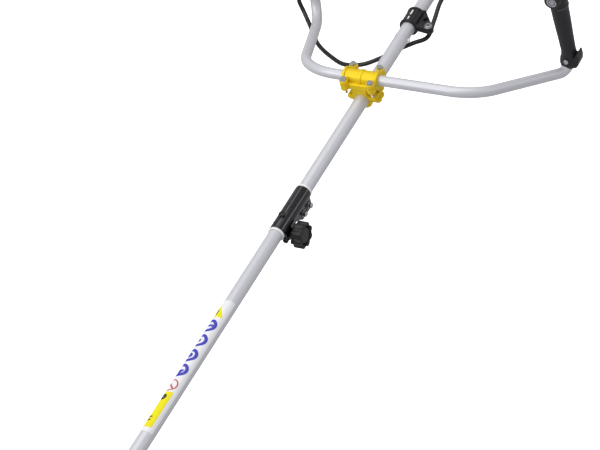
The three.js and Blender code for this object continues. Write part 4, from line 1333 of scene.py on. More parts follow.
@dataclass
class Coupling:
    """The split clamp that joins the two tubes, its bolts, its lobed knob and the latch button."""

    shop: Workshop
    rear: float = -803.0
    front: float = -920.0
    tube: float = 13.25
    radius: float = 17.0
    barrel: float = 15.2
    seal: float = 5.0
    ear_z: float = -24.0
    ear_half: float = 9.0
    knob_radius: float = 24.0
    lobes: int = 8

    def build(self) -> None:
        """Builds the clamp and what is on it."""
        knob_x = self.front + 33
        bolts = [self.rear - 12, self.rear - 34]
        self.build_body(knob_x, bolts)
        for number, x in enumerate(bolts, 1):
            self.build_bolt(f"coupling_bolt_{number}", x)
        self.build_knob(knob_x)
        latch_x = self.front + 34
        stem = Solid.rod(Z, 4, 13.6, 20, (latch_x, 0))
        cap = [(0, 17.3), (6, 17.3), (6, 19.6), (5.2, 20.7), (3.4, 21), (3, 20.4), (0, 20.3)]
        button = stem.join(Solid.turned(Z, cap, (latch_x, 0), 40))
        self.shop.stand_in("latch_button", button, BLACK_METAL, "tube_latch")

    def build_body(self, knob_x: float, bolts: Sequence[float]) -> None:
        """Builds the clamp with its lengthwise ribs and ears.

        Args:
            knob_x: where the knob is.
            bolts: where the bolts are.
        """
        rear, front, low = self.rear, self.front, self.ear_z - 10
        outline = [
            (rear - 2, -8), (rear - 2, low + 6), (rear - 6, low), (bolts[1] - 6, low),
            (bolts[1] - 16, low + 9),
            (knob_x + 20, self.ear_z + 6), (knob_x + 13, low + 6), (knob_x + 9, low), (knob_x - 9, low),
            (knob_x - 14, low + 6), (knob_x - 16, -8),
        ]
        sizes = [1, 6, 4, 5, 12, 9, 7, 6, 6, 7, 1]
        ears = Solid.slab(Y, rounded(outline, sizes, 5), -self.ear_half, self.ear_half, 1.4)
        barrel = Solid.rod(X, self.barrel, front + self.seal, rear - self.seal, edge=1.0, sides=96)
        ribs = []
        start, end = front + self.seal + 2, rear - self.seal - 2
        for angle in (8, 52):
            rib = Solid.block((start, -1.3, self.barrel - 1), (end, 1.3, self.barrel + 1.1), 0.6)
            ribs.append(rib.turned_by(angle, X))
        # The ribs are real, but their light grey finish is a painted highlight along the glossy clamp.
        self.shop.place("coupling_ribs", Solid.together(ribs), PAINTED_HIGHLIGHT_GREY)
        seals = [
            Solid.pipe(X, 14.6, self.tube, start, start + self.seal, edge=0.5, sides=96)
            for start in (front, rear - self.seal)
        ]
        self.shop.place("coupling_seals", Solid.together(seals), LABEL_WHITE)
        lug = Solid.pipe(X, 5.2, 2.6, front + 4, front + 9, (-13, -16.5), edge=1.0, sides=32)
        body = barrel.join(ears, lug).cut(
            Solid.bore(X, self.tube, front - 1, rear + 1, sides=96),
            Solid.block((front - 1, -1, low - 1), (rear + 1, 1, 0), 0),
            Solid.block((front + 15, 5, -self.radius), (front + 18.5, self.radius + 1, self.radius), 0),
            Solid.bore(Z, 4.3, 5, 25, (front + 34, 0), sides=32),
            *[Solid.bore(Y, 3.4, -30, 30, (x, self.ear_z), sides=32) for x in bolts],
            Solid.bore(Y, 4.4, -30, 30, (knob_x, self.ear_z), sides=32),
        )
        self.shop.stand_in("coupling_body", body, BLACK_METAL)

    def build_bolt(self, node: str, x: float) -> None:
        """Builds one clamp bolt with its nut on the far ear.

        Args:
            node: the bolt's node.
            x: where it is.
        """
        bolt = Fasteners.hex_bolt(9.8, 6.0, 3, 26).aimed((x, -self.ear_half - 0.3, self.ear_z), (0, -1, 0))
        nut = Fasteners.hexagon(9.8, 0, 4.6).aimed((x, self.ear_half + 0.3, self.ear_z), (0, 1, 0))
        self.shop.stand_in(node, bolt.beside(nut), ZINC)

    def build_knob(self, x: float) -> None:
        """Builds the lobed knob: dished face, sector ribs and a threaded stem.

        Args:
            x: where it is.
        """
        inner, outer = -self.radius - 2, -self.radius - 22
        steps = self.lobes * 12
        outline = []
        for i in range(steps):
            angle = TAU * i / steps
            swell = math.cos(self.lobes * angle / 2) ** 2
            radius = self.knob_radius - 4.2 * (1 - swell**0.7)
            outline.append((x + radius * math.cos(angle), self.ear_z + radius * math.sin(angle)))
        disc = Solid.slab(Y, outline, outer, inner, 2.2, 4)
        dish = Solid.turned(
            Y,
            [
                (0, outer + 1.5), (13, outer + 1.8), (16.5, outer + 4.5), (18.2, outer + 1),
                (18.8, outer - 1), (0, outer - 1),
            ],
            (x, self.ear_z),
        )
        scoops = around(self.lobes, lambda a: self.scoop(x, outer, a))
        knob = disc.cut(dish, *scoops).join(
            Solid.rod(Y, 9, inner - 1, -self.ear_half - 0.3, (x, self.ear_z), edge=0.8),
        )
        stem = Fasteners.thread(4, 0, 34, 1.25).aimed((x, 17, self.ear_z), (0, -1, 0))
        self.shop.stand_in("coupling_knob", knob.beside(stem), BLACK_PLASTIC, "coupling_screw")

    def scoop(self, x: float, outer: float, angle: float) -> Solid:
        """One hollow between two lobes, at the face.

        Args:
            x: where the knob is.
            outer: where the knob's face is.
            angle: the lobe's angle, in degrees.

        Returns:
            The hollow.
        """
        turn = math.radians(angle + 180 / self.lobes)
        reach = self.knob_radius + 0.5
        at = (x + reach * math.cos(turn), self.ear_z + reach * math.sin(turn))
        return Solid.rod(Y, 4.4, outer - 1, outer + 9, at, edge=1.5, sides=24)


@dataclass
class HarnessClamp:
    """The clamp with the harness plate, and its socket-head bolt."""

    shop: Workshop
    x: float = -327.0
    half: float = 23.0
    tube: float = 13.25
    eye: Pair = (-347.0, -41.0)

    def build(self) -> None:
        """Builds the clamp and its bolt."""
        x, half = self.x, self.half
        tip = arc(self.eye, 8.5, -20, -160, 8)
        outline = [(x + half, -8), (x + half, -17), *tip, (x - half - 0.6, -17), (x - half - 0.6, -8)]
        rear = x + half - 6
        barrel = Solid.rod(X, 17.5, x - half, rear, edge=1.4, sides=80)
        plate = Solid.slab(Z, outline, -6, 6, 1.2)
        rim = Solid.slab(Z, rounded(outline, 0.5, 1), 5.4, 7.2, 0.5)
        hollow = [
            (x + half - 4, -14), (x + half - 4, -19), (self.eye[0] + 9, -34), (x - half + 4, -30),
            (x - half + 4, -14),
        ]
        rims = [Solid.pipe(X, 18.6, 16, at - 2.2, at + 2.2, edge=0.8) for at in (x - half + 2.4, rear - 2.4)]
        pads = [Solid.block((x + a, -2, 16), (x + b, 2, 18.4), 0.6) for a, b in ((-20, -10), (-7, 8))]
        body = barrel.join(plate, rim, *rims, *pads).cut(
            Solid.slab(Z, hollow, 5.6, 9, 0),
            Solid.bore(X, self.tube, x - half - 2, x + half + 2, sides=80),
            Solid.block((x - half - 2, -60, -0.8), (x + half + 2, 0, 0.8), 0),
            Solid.bore(Z, 3.3, -20, 20, self.eye, sides=32),
            Solid.bore(Z, 5.5, -20, 20, (x - 1, -27), sides=40),
        )
        self.shop.stand_in("hanger_clamp", body, BLACK_PLASTIC)
        bolt = Fasteners.socket_bolt(5.8, 4.2, 3, 17, 6.4).beside(
            Solid.pipe(Z, 7.4, 3.2, -0.1, 0.9, edge=0.25)
        )
        bolt = bolt.aimed((*self.eye, 6.9), (0, 0, 1))
        self.shop.stand_in("hanger_bolt", bolt, ZINC)
        # A black hexagon at the bottom of the bolt's socket is painted shade inside the recess.
        socket = Solid.rod(Z, 2.9, 7.4, 8.8, self.eye, edge=0.3, sides=6)
        self.shop.place("hanger_bolt_socket", socket, BLACK_METAL)
        dashes = [Solid.block((x + a, -1.4, 18.3), (x + b, 1.4, 18.8), 0.2) for a, b in ((-19, -11), (-6, 7))]
        self.shop.place("hanger_marks", Solid.together(dashes), LABEL_WHITE)


@dataclass
class Bracket:
    """The yellow handlebar bracket: cap, saddle and tube clamp with their bolts."""

    shop: Workshop
    x: float = -540.0
    split: float = 37.0
    half: float = 19.0
    width: float = 35.0
    bolt_x: float = 22.0
    bolt_y: float = 27.0
    tube: float = 13.25
    bar: float = 10.25

    def build(self) -> None:
        """Builds the three castings and their fasteners."""
        corners = [(1, 1), (1, -1), (-1, -1), (-1, 1)]
        places = [(self.x + a * self.bolt_x, b * self.bolt_y) for a, b in corners]
        bores = [Solid.bore(Z, 3.4, -5, 80, at, sides=24) for at in places]
        bar_hole = Solid.bore(Y, self.bar, -60, 60, (self.x, self.split), sides=80)
        self.build_cap(places, [bar_hole, *bores])
        self.build_saddle(places, [bar_hole, *bores])
        self.build_clamp()
        for number, at in enumerate(places, 1):
            bolt = Fasteners.hex_bolt(9.7, 4.7, 3, 31)
            bolt = bolt.aimed((*at, self.split + 9.3), (0, 0, 1))
            self.shop.stand_in(f"bracket_bolt_{number}", bolt, ZINC)

    def barrel(self, low: float, high: float) -> list[Solid]:
        """The round body about the bar, with its end rims, kept between two heights.

        Args:
            low: the lower height.
            high: the upper height.

        Returns:
            The body and its rims.
        """
        at = (self.x, self.split)
        w = self.width
        parts = [
            Solid.rod(Y, 15, -w, w, at, edge=0.8, sides=80),
            Solid.rod(Y, 17.5, -w, -w + 5.5, at, edge=1.4, sides=80),
            Solid.rod(Y, 17.5, w - 5.5, w, at, edge=1.4, sides=80),
            Solid.rod(Y, 16.2, -4, 4, at, edge=1.0, sides=80),
        ]
        keep = Solid.block((self.x - 70, -70, low), (self.x + 70, 70, high), 0)
        return [part.common(keep) for part in parts]

    def build_cap(self, places: Sequence[Pair], cuts: Sequence[Solid]) -> None:
        """Builds the upper half, with a raised boss round each bolt.

        Args:
            places: where the bolts are.
            cuts: what is cut out of it.
        """
        low = self.split + 0.3
        shells = self.barrel(low, self.split + 40)
        lugs = [Solid.rod(Z, 8, low, self.split + 9, at, edge=1.0, sides=40) for at in places]
        seats = [Solid.rod(Z, 6.6, self.split + 4, self.split + 9, at, edge=0.5, sides=40) for at in places]
        webs = [
            Solid.block(
                (self.x - self.bolt_x, y - 5, low), (self.x + self.bolt_x, y + 5, self.split + 6), 1.2
            )
            for y in (-self.bolt_y, self.bolt_y)
        ]
        body = shells[0].join(*shells[1:], *lugs, *seats, *webs).cut(*cuts)
        self.shop.stand_in("bracket_cap", body, YELLOW_PAINT)

    def build_saddle(self, places: Sequence[Pair], cuts: Sequence[Solid]) -> None:
        """Builds the lower half, which straddles the drive tube.

        Args:
            places: where the bolts are.
            cuts: what is cut out of it.
        """
        x, half, high = self.x, self.half, self.split - 0.3
        shells = self.barrel(-5, high)
        lugs = [Solid.rod(Z, 8, self.split - 11, high, at, edge=1.0, sides=40) for at in places]
        neck = [(-20, 0.3), (20, 0.3), (22, 12), (17, 24), (17, 33), (-17, 33), (-17, 24), (-22, 12)]
        body = shells[0].join(
            *shells[1:],
            *lugs,
            Solid.slab(X, rounded(neck, 3, 4), x - half, x + half, 1.6),
            Solid.block((x - self.bolt_x, -self.bolt_y, 25), (x + self.bolt_x, self.bolt_y, high), 1.5),
            Solid.block((x - half, -29, 0.3), (x + half, 29, 8), 1.6),
        )
        screws = [Solid.bore(Z, 2.8, -20, 20, (x, side * 24.5), sides=24) for side in (-1, 1)]
        tube = Solid.bore(X, self.tube, x - 60, x + 60, sides=80)
        pockets = [
            Solid.block((x + a * 15.5 - 5.5, b * 20 - 3, 10), (x + a * 15.5 + 5.5, b * 20 + 8, 23), 1.2)
            for a in (-1, 1)
            for b in (-1, 1)
        ]
        self.shop.stand_in("bracket_saddle", body.cut(*cuts, *screws, tube, *pockets), YELLOW_PAINT)

    def build_clamp(self) -> None:
        """Builds the half-shell under the tube and the two screws that pull it up."""
        x, half = self.x, self.half
        round_part = Solid.rod(X, 19, x - half, x + half, edge=1.4, sides=80)
        keep = Solid.block((x - 60, -60, -60), (x + 60, 60, -0.3), 0)
        ears = Solid.block((x - 12, -31, -9), (x + 12, 31, -0.3), 2.0)
        ribs = [
            Solid.rod(X, 20, at - 1.6, at + 1.6, edge=0.7, sides=80).common(keep) for at in (x - 16, x + 16)
        ]
        body = round_part.common(keep).join(ears, *ribs).cut(
            Solid.bore(X, self.tube, x - 60, x + 60, sides=80),
            *[Solid.bore(Z, 2.8, -20, 20, (x, side * 24.5), sides=24) for side in (-1, 1)],
        )
        self.shop.stand_in("bracket_clamp", body, YELLOW_PAINT)
        screws = [
            Fasteners.socket_bolt(4.6, 4, 2.5, 15, 4).aimed((x, side * 24.5, -9.2), (0, 0, -1))
            for side in (-1, 1)
        ]
        self.shop.place("bracket_clamp_screws", Solid.together(screws), ZINC)


@dataclass(frozen=True)
class BarRoute:
    """One handlebar tube's corners and bends."""

    side: int
    reach: float
    sweep: Triple
    bend: float
    end_bend: float
    rise: float
    lean: float = 0.0

    def stations(self, x: float, height: float, gap: float) -> list[Vector]:
        """The tube's centreline, from the bracket to the grip.

        Args:
            x: where the bracket is.
            height: the bar's height there.
            gap: the gap between the two bars.

        Returns:
            The stations.
        """
        start = Vector((x, self.side * gap / 2, height))
        first = Vector((x, self.side * self.reach, height))
        second = first + Vector(self.sweep)
        top = second + Vector((0, self.lean, self.rise))
        return bent_route([start, first, second, top], [self.bend, self.end_bend], 16)


LEFT_BAR = BarRoute(-1, 222, (197, -98, -90), 75, 22, 188, 6.0)
RIGHT_BAR = BarRoute(1, 124.5, (245, 101, -90), 100, 40, 196)


@dataclass
class Handlebar:
    """The two bars, the left grip and the ties on the right bar."""

    shop: Workshop
    x: float = -540.0
    height: float = 37.0
    gap: float = 1.0
    radius: float = 10.0
    wall: float = 1.5

    def build(self) -> None:
        """Builds the bars and the left grip."""
        for node, route in (("left_bar", LEFT_BAR), ("right_bar", RIGHT_BAR)):
            bar = Solid.swept(
                route.stations(self.x, self.height, self.gap), self.radius, self.radius - self.wall, 64
            )
            self.shop.stand_in(node, bar, SILVER_PAINT)
        self.build_grip()
        self.build_ties()

    def build_ties(self) -> None:
        """Builds the ties that hold the cable to the right bar."""
        stations = RIGHT_BAR.stations(self.x, self.height, self.gap)
        bend = stations[-3]
        tie = Solid.pipe(Z, self.radius + 1.2, self.radius + 0.05, -2.2, 2.2, edge=0.4)
        lock = Solid.block((-3, self.radius, -3), (3, self.radius + 5, 3), 0.8)
        piece = tie.join(lock).shifted(bend.x, bend.y, stations[-2].z + 12)
        self.shop.place("bar_tie", piece, BLACK_PLASTIC)

    def build_grip(self) -> None:
        """Builds the left grip: a tapering hand shape with a hook, a top boss and its screws."""
        low, high = self.shop.span("left_bar")
        x, y = high.x - self.radius, low.y + self.radius
        top = high.z
        bottom = top - 174
        profile = [
            (0, 14.5, 14.5), (3, 17.2, 17.2), (10, 18.4, 18.4), (19, 17.4, 17.4), (27, 14.8, 14.8),
            (36, 13.6, 13.6),
            (66, 14.6, 14.4), (105, 16.2, 15.8), (140, 16.8, 16.4), (152, 18.6, 18.6), (164, 19.4, 19.4),
            (178, 19, 19), (186, 15, 15), (188, 9, 9),
        ]
        rings = []
        for z, wide, deep in profile:
            swell = 2.6 * max(0.0, 1 - z / 30)
            rings.append(
                [(x + u * wide, y + v * deep + swell, bottom + z) for u, v in arc((0, 0), 1, 0, 352.5, 47)]
            )
        stem = Solid.from_rings(rings)
        hook_line = [
            (y - 8, bottom + 1), (y - 13, bottom + 2), (y - 19, bottom + 9), (y - 21.5, bottom + 21),
            (y - 21, bottom + 33), (y - 18.5, bottom + 34.5), (y - 16, bottom + 27), (y - 8, bottom + 22),
        ]
        hook = Solid.slab(X, rounded(hook_line, [1, 10, 12, 14, 2.5, 3, 8, 1], 6), x - 12, x + 12, 4, 4)
        lean = Matrix.Identity(4)
        lean[1][2] = LEFT_BAR.lean / LEFT_BAR.rise
        lean[1][3] = -lean[1][2] * (top - LEFT_BAR.rise)
        at = (y, top - 11)
        boss = Solid.rod(X, 14, x - 27, x, at, edge=2.2, sides=64)
        collar = Solid.pipe(Z, 17.9, 15, top - 36, top - 33.4, (x, y), edge=0.7, sides=64)
        bore = Solid.swept(LEFT_BAR.stations(self.x, self.height, self.gap), self.radius + 0.4, 0, 48)
        recess = Solid.rod(X, 10.2, x - 40, x - 24, at, edge=0.3, sides=64)
        keep = Solid.block((x - 30, y - 30, top - 40), (x + 30, y - 4, top - 30), 0)
        # A thin light grey band round the grip's top: a painted highlight on the glossy moulding.
        self.shop.place("left_grip_band", collar.common(keep).moved(lean), PAINTED_HIGHLIGHT_GREY)
        body = stem.join(hook, boss).cut(recess).moved(lean).cut(bore)
        self.shop.stand_in("left_grip", body, GRIP_RUBBER, crease=50)
        ring = Solid.pipe(X, 9.8, 6.4, x - 26.5, x - 23.5, at, edge=0.8)
        dome = [(0, x - 27.4), (3.2, x - 27.2), (5.4, x - 26.2), (6.2, x - 24), (0, x - 24)]
        cap = ring.beside(Solid.turned(X, dome, at, 40))
        self.shop.place("left_grip_button", cap.moved(lean), ZINC)
        aim = Vector((-0.95, 0.12, 0.05)).normalized()
        seat = Vector((x, y, bottom + 18)) + aim * 17.6
        screw = Fasteners.cross_screw(4.8, 2.4, 8).aimed(tuple(seat), tuple(aim))
        self.shop.place("left_grip_screw", screw, ZINC)


@dataclass
class ThrottleCable:
    """The throttle cable and switch wires in one sleeve, held from the carburettor to the right grip."""

    shop: Workshop
    radius: float = 4.25
    points: tuple[Triple, ...] = (
        (-30, -70, 34), (-62, -76, 32), (-110, -70, 22), (-160, -48, 8), (-210, -32, 1), (-261, -28, -2),
        (-310, -32, -13), (-347, -33, -21), (-366, -14, -21.5), (-392, 10, -21.5), (-421, 31, -21),
        (-442, 58, -23), (-444, 96, -28), (-420, 140, -34), (-388, 180, -42), (-357, 207, -48),
        (-330, 229, -46), (-309, 249, -34), (-302, 258, -12), (-298, 251, 8), (-295, 246, 24),
        (-295, 245.5, 55),
    )

    def build(self) -> None:
        """Builds the sleeve: two bundled lines show through it as a shallow groove on each side."""
        stations = smooth_route(self.points, 8)
        section = []
        for i in range(40):
            angle = TAU * i / 40
            radius = self.radius * (1.0 - 0.16 * math.cos(angle) ** 6)
            section.append((radius * math.cos(angle), radius * math.sin(angle)))
        sleeve = Solid.swept_section(stations, section)
        self.shop.stand_in("throttle_cable", sleeve, CABLE_RUBBER, crease=60)


@dataclass
class ClutchHousing:
    """The cast bell with its ribs, and the clutch, flywheel and crank inside it."""

    shop: Workshop
    mouth: float = -160.0
    rear: float = -46.0
    tube: float = 13.25
    neck: float = 20.0
    bell: float = 60.0
    wall: float = 4.0

    def build(self) -> None:
        """Builds the housing and dresses what turns in it."""
        m = self.mouth
        stop = self.shop.span("upper_tube")[1].x + 0.3
        outside = rounded(
            [
                (self.tube, m), (self.neck, m), (self.neck, m + 40), (30, m + 50), (50, m + 56),
                (self.bell, m + 68), (self.bell, self.rear), (self.bell - self.wall, self.rear),
                (self.bell - self.wall, m + 72), (46, m + 61), (10, m + 53), (10, stop), (self.tube, stop),
            ],
            [1, 2, 8, 6, 6, 8, 0.8, 0.8, 8, 6, 1, 1, 0.5],
            5,
        )
        shell = Solid.turned(X, outside, sides=96)
        ear = [(m + 2, -16), (m + 2, -30), (m + 30, -30), (m + 34, -16)]
        ribs = []
        for i in range(8):
            line = [
                (m + 34, 18), (m + 46, 24), (m + 56, 46), (m + 68, 59), (m + 68, 61.5), (m + 60, 60),
                (m + 44, 40), (m + 34, 22),
            ]
            rib = Solid.slab(Y, line, -1.6, 1.6, 0.5)
            ribs.append(rib.turned_by(360 * (i + 0.5) / 8, X))
        lip = Solid.pipe(X, 62, 57, self.rear - 6, self.rear - 1.5, edge=0.8, sides=96)
        body = shell.join(Solid.slab(Y, rounded(ear, [1, 4, 6, 1], 4), -8, 8, 1.4), lip, *ribs).cut(
            Solid.bore(X, self.tube, m - 1, m + 36, sides=80),
            Solid.block((m - 1, -1, -40), (m + 36, 1, 0), 0),
            Solid.bore(Y, 2.8, -12, 12, (m + 14, -25), sides=24),
        )
        self.shop.stand_in("clutch_housing", body, CAST)
        bolt = Fasteners.socket_bolt(4.4, 4, 2.5, 19, 4).aimed((m + 14, -8.2, -25), (0, -1, 0))
        self.shop.place("clutch_clamp_screw", bolt, ZINC)
        for node, finish, carrier in (
            ("clutch_drum", STEEL, "upper_drive"),
            ("clutch_shoes", CAST, "crankshaft"),
            ("flywheel", ALUMINIUM, "crankshaft"),
            ("crank_front", STEEL, "crankshaft"),
            ("crank_rear", STEEL, "crankshaft"),
            ("connecting_rod", STEEL, "engine_unit"),
            ("piston", ALUMINIUM, "engine_unit"),
        ):
            self.shop.stand_in(node, self.shop.refined(node, 0.5, 2), finish, carrier)


@dataclass
class EngineBlock:
    """The crankcase, the finned cylinder, the spark plug and its cap."""

    shop: Workshop
    bore: float = 20.0
    fin_x: float = 26.0
    fin_y: float = 40.0
    top: float = 124.0
    case_top: float = 40.0

    def build(self) -> None:
        """Builds the castings and the plug."""
        case = self.shop.refined("crankcase", 1.2, 3)
        self.shop.stand_in("crankcase", case, CAST)
        low = self.case_top + 0.3
        fins = []
        for i in range(7):
            z = self.case_top + 12 + 10 * i
            ring = rounded([(-self.fin_x, -self.fin_y), (self.fin_x, -self.fin_y), (self.fin_x, self.fin_y),
                            (-self.fin_x, self.fin_y)], 12, 6)
            fins.append(Solid.slab(Z, ring, z, z + 2.6, 0.8))
        barrel = Solid.rod(Z, self.bore + 7, low, self.top, edge=2, sides=64)
        ports = [
            Solid.block((-14, -43.9, 62), (14, -20, 86), 2), Solid.block((-14, 20, 62), (14, 43.9, 86), 2)
        ]
        body = barrel.join(Solid.block((-28, -28, low), (28, 28, low + 4.7), 1.5), *ports, *fins).cut(
            Solid.bore(Z, self.bore, low - 1, self.top - 12),
            Solid.bore(Z, 5, self.top - 20, self.top + 1, sides=32),
            Solid.bore(Y, 8, -50, -15, (0, 74), sides=32),
            Solid.bore(Y, 8, 15, 50, (0, 74), sides=32),
        )
        self.shop.stand_in("cylinder", body, ALUMINIUM)
        self.build_plug()

    def build_plug(self) -> None:
        """Builds the spark plug with its hexagon, and the rubber cap with its lead."""
        t = self.top
        base = Solid.rod(Z, 4.6, t - 14, t + 0.3, edge=0.4, sides=32)
        nut = Fasteners.hexagon(15.6, t + 0.3, t + 8)
        ribs = [(0, t + 7.5), (5.5, t + 7.5)]
        for i in range(4):
            at = t + 10 + 3.5 * i
            ribs += [(5.4, at), (4.9, at + 1.2), (4.9, at + 2.2), (5.3, at + 3.2)]
        porcelain = Solid.turned(Z, [*ribs, (4.2, t + 26), (3.4, t + 28), (0, t + 28)], sides=32)
        self.shop.stand_in("spark_plug", base.join(nut, porcelain), ZINC)
        boot = [(6.2, t + 12), (9.5, t + 12), (9.5, t + 15), (8.6, t + 17), (8.6, t + 28), (9.4, t + 31),
                (9.4, t + 38), (7, t + 42), (0, t + 42), (0, t + 30), (6.2, t + 30)]
        elbow = Solid.rod(X, 7, 0, 24, (0, t + 34), edge=1.6, sides=40)
        rings = [
            Solid.pipe(X, 7.6, 5, 10 + 4 * i, 12 + 4 * i, (0, t + 34), edge=0.5, sides=40) for i in range(3)
        ]
        body = Solid.turned(Z, boot, sides=48).join(elbow, *rings)
        self.shop.stand_in("plug_cap", body, SOFT_RUBBER)
        lead = smooth_route(
            [(22, 0, t + 34), (34, 0, t + 33), (44, -2, t + 27), (50, -6, t + 17), (52, -8, t + 8)], 8
        )
        self.shop.place("plug_lead", Solid.swept(lead, 3, 0, 24), SOFT_RUBBER)


@dataclass
class EngineCovers:
    """The yellow cover, the silencer, the carburettor, the filter cover, the primer and the choke."""

    shop: Workshop

    def build(self) -> None:
        """Builds each cover and control."""
        self.build_cover()
        self.build_silencer()
        self.build_intake()

    def build_cover(self) -> None:
        """Builds the engine cover: rounded shell, cooling slots, ribs and screws."""
        cover = self.shop.refined("engine_cover", 3.0, 4, 40)
        high = self.shop.span("engine_cover")[1]
        y = high.y
        fins = [
            Solid.block(
                (-34 + 11 * i, side * (y - 1.2) - 1.2, 116), (-29 + 11 * i, side * (y - 1.2) + 1.2, 130), 0.8
            )
            for i in range(6)
            for side in (-1, 1)
        ]
        crown = Solid.pipe(Z, 17.5, 14.2, high.z - 3, high.z + 1.6, edge=1.2)
        body = cover.beside(crown, *fins)
        self.shop.stand_in("engine_cover", body, YELLOW_PLASTIC)
        screws = [
            Fasteners.cross_screw(4, 2, 8).aimed((x, side * (y + 0.1), 72), (0, side, 0))
            for side in (-1, 1)
            for x in (-46, 48)
        ]
        self.shop.place("cover_screws", Solid.together(screws), ZINC)

    def build_silencer(self) -> None:
        """Builds the silencer box with pressed ribs and its outlet."""
        box = self.shop.refined("muffler", 4.0, 4, 40)
        ribs = [Solid.block((-30 + 15 * i, 103, 54), (-24 + 15 * i, 105.2, 98), 1.4) for i in range(5)]
        seam = Solid.block((-38.8, 78.5, 43.2), (38.8, 81.5, 108.8), 1.2)
        core = Solid.block((-36.5, 70, 45.5), (36.5, 90, 106.5), 0.5)
        body = box.beside(*ribs, seam.cut(core))
        self.shop.stand_in("muffler", body, BLACK_METAL)
        bolts = [
            Fasteners.hex_bolt(8, 4, 2.5, 6).aimed((x, 104.3, 76), (0, 1, 0)) for x in (-33, 33)
        ]
        self.shop.place("silencer_bolts", Solid.together(bolts), ZINC)

    def build_intake(self) -> None:
        """Builds the carburettor, the filter cover, the primer bulb and the choke lever."""
        carburettor = self.shop.refined("carburettor", 1.2, 3)
        screws = [
            Fasteners.cross_screw(2.6, 1.6, 5).aimed((19.1, y, z), (1, 0, 0))
            for y in (-80, -60)
            for z in (62, 85)
        ]
        self.shop.stand_in("carburettor", carburettor.beside(*screws), ALUMINIUM)
        cover = self.shop.refined("air_filter_cover", 5.0, 5, 40)
        ribs = [Solid.block((-38 + 9 * i, -125.0, 46), (-35 + 9 * i, -122.6, 92), 1.0) for i in range(6)]
        knob = [(0, -127.5), (7, -127.5), (9, -126), (9, -122), (0, -122)]
        grip = Solid.turned(Y, knob, (13, 40), 40)
        self.shop.stand_in("air_filter_cover", cover.beside(*ribs, grip), BLACK_PLASTIC)
        low, high = self.shop.span("primer_bulb")
        y, radius = (low.y + high.y) / 2, (high.y - low.y) / 2
        dome = [
            (0, low.z), *arc((0, low.z + 7.4), 7.4, -84, 0, 8), (7.6, high.z - 3), (radius, high.z - 2),
            (radius, high.z), (0, high.z),
        ]
        self.shop.stand_in("primer_bulb", Solid.turned(Z, dome, (0, y), 48), SOFT_RUBBER, "primer")
        lever = self.shop.refined("choke_lever", 1.0, 3)
        self.shop.stand_in("choke_lever", lever, BLACK_PLASTIC, "choke")


@dataclass
class FuelTank:
    """The translucent tank with its seam, the ribbed cap and the stand round it."""

    shop: Workshop
    y: float = 74.0
    neck_x: float = -8.0
    neck_z: float = -95.0
    neck: float = 15.0

    def build(self) -> None:
        """Builds the tank, the cap and the stand."""
        tank = self.shop.refined("fuel_tank", 6.0, 5, 30)
        low, high = self.shop.span("fuel_tank")
        line = rounded(
            [(-self.y - 1.4, low.z + 15), (-self.y + 15, low.z - 1.4), (self.y - 15, low.z - 1.4),
             (self.y + 1.4, low.z + 15), (self.y + 1.4, high.z - 11), (self.y - 11, high.z + 1.4),
             (-self.y + 11, high.z + 1.4), (-self.y - 1.4, high.z - 11)], 6, 5)
        inner = [(u * 0.95, (v - low.z - 36) * 0.9 + low.z + 36) for u, v in line]
        seam = Solid.slab(X, line, 20, 23, 0.8).cut(Solid.slab(X, inner, 15, 28, 0))
        self.shop.stand_in("fuel_tank", tank.beside(seam), TANK_PLASTIC)
        self.build_cap()
        stand = self.shop.refined("tank_stand", 1.0, 3, 40, False)
        self.shop.stand_in("tank_stand", stand, BLACK_PLASTIC)

    def build_cap(self) -> None:
        """Builds the fuel cap with grip ridges round it."""
        at = (self.neck_x, self.neck_z)
        outer, inner = -self.y - 20, -self.y - 2
        radius = self.neck + 6
        outline = []
        for i in range(144):
            angle = TAU * i / 144
            ridge = radius - 0.9 * (0.5 - 0.5 * math.cos(24 * angle)) ** 0.6
            outline.append((at[0] + ridge * math.cos(angle), at[1] + ridge * math.sin(angle)))
        cap = Solid.slab(Y, outline, outer, inner, 1.2, 3).cut(
            Solid.bore(Y, self.neck + 0.6, -self.y - 13, -self.y, at, sides=64),
            Solid.turned(Y, [(0, outer - 1), (15, outer - 1), (14, outer + 1.6), (0, outer + 1.6)], at, 64),
        )
        bar = Solid.block((at[0] - 13, outer + 0.2, at[1] - 3), (at[0] + 13, outer + 3, at[1] + 3), 1.2)
        self.shop.stand_in("fuel_cap", cap.join(bar), BLACK_PLASTIC, "tank_cap")


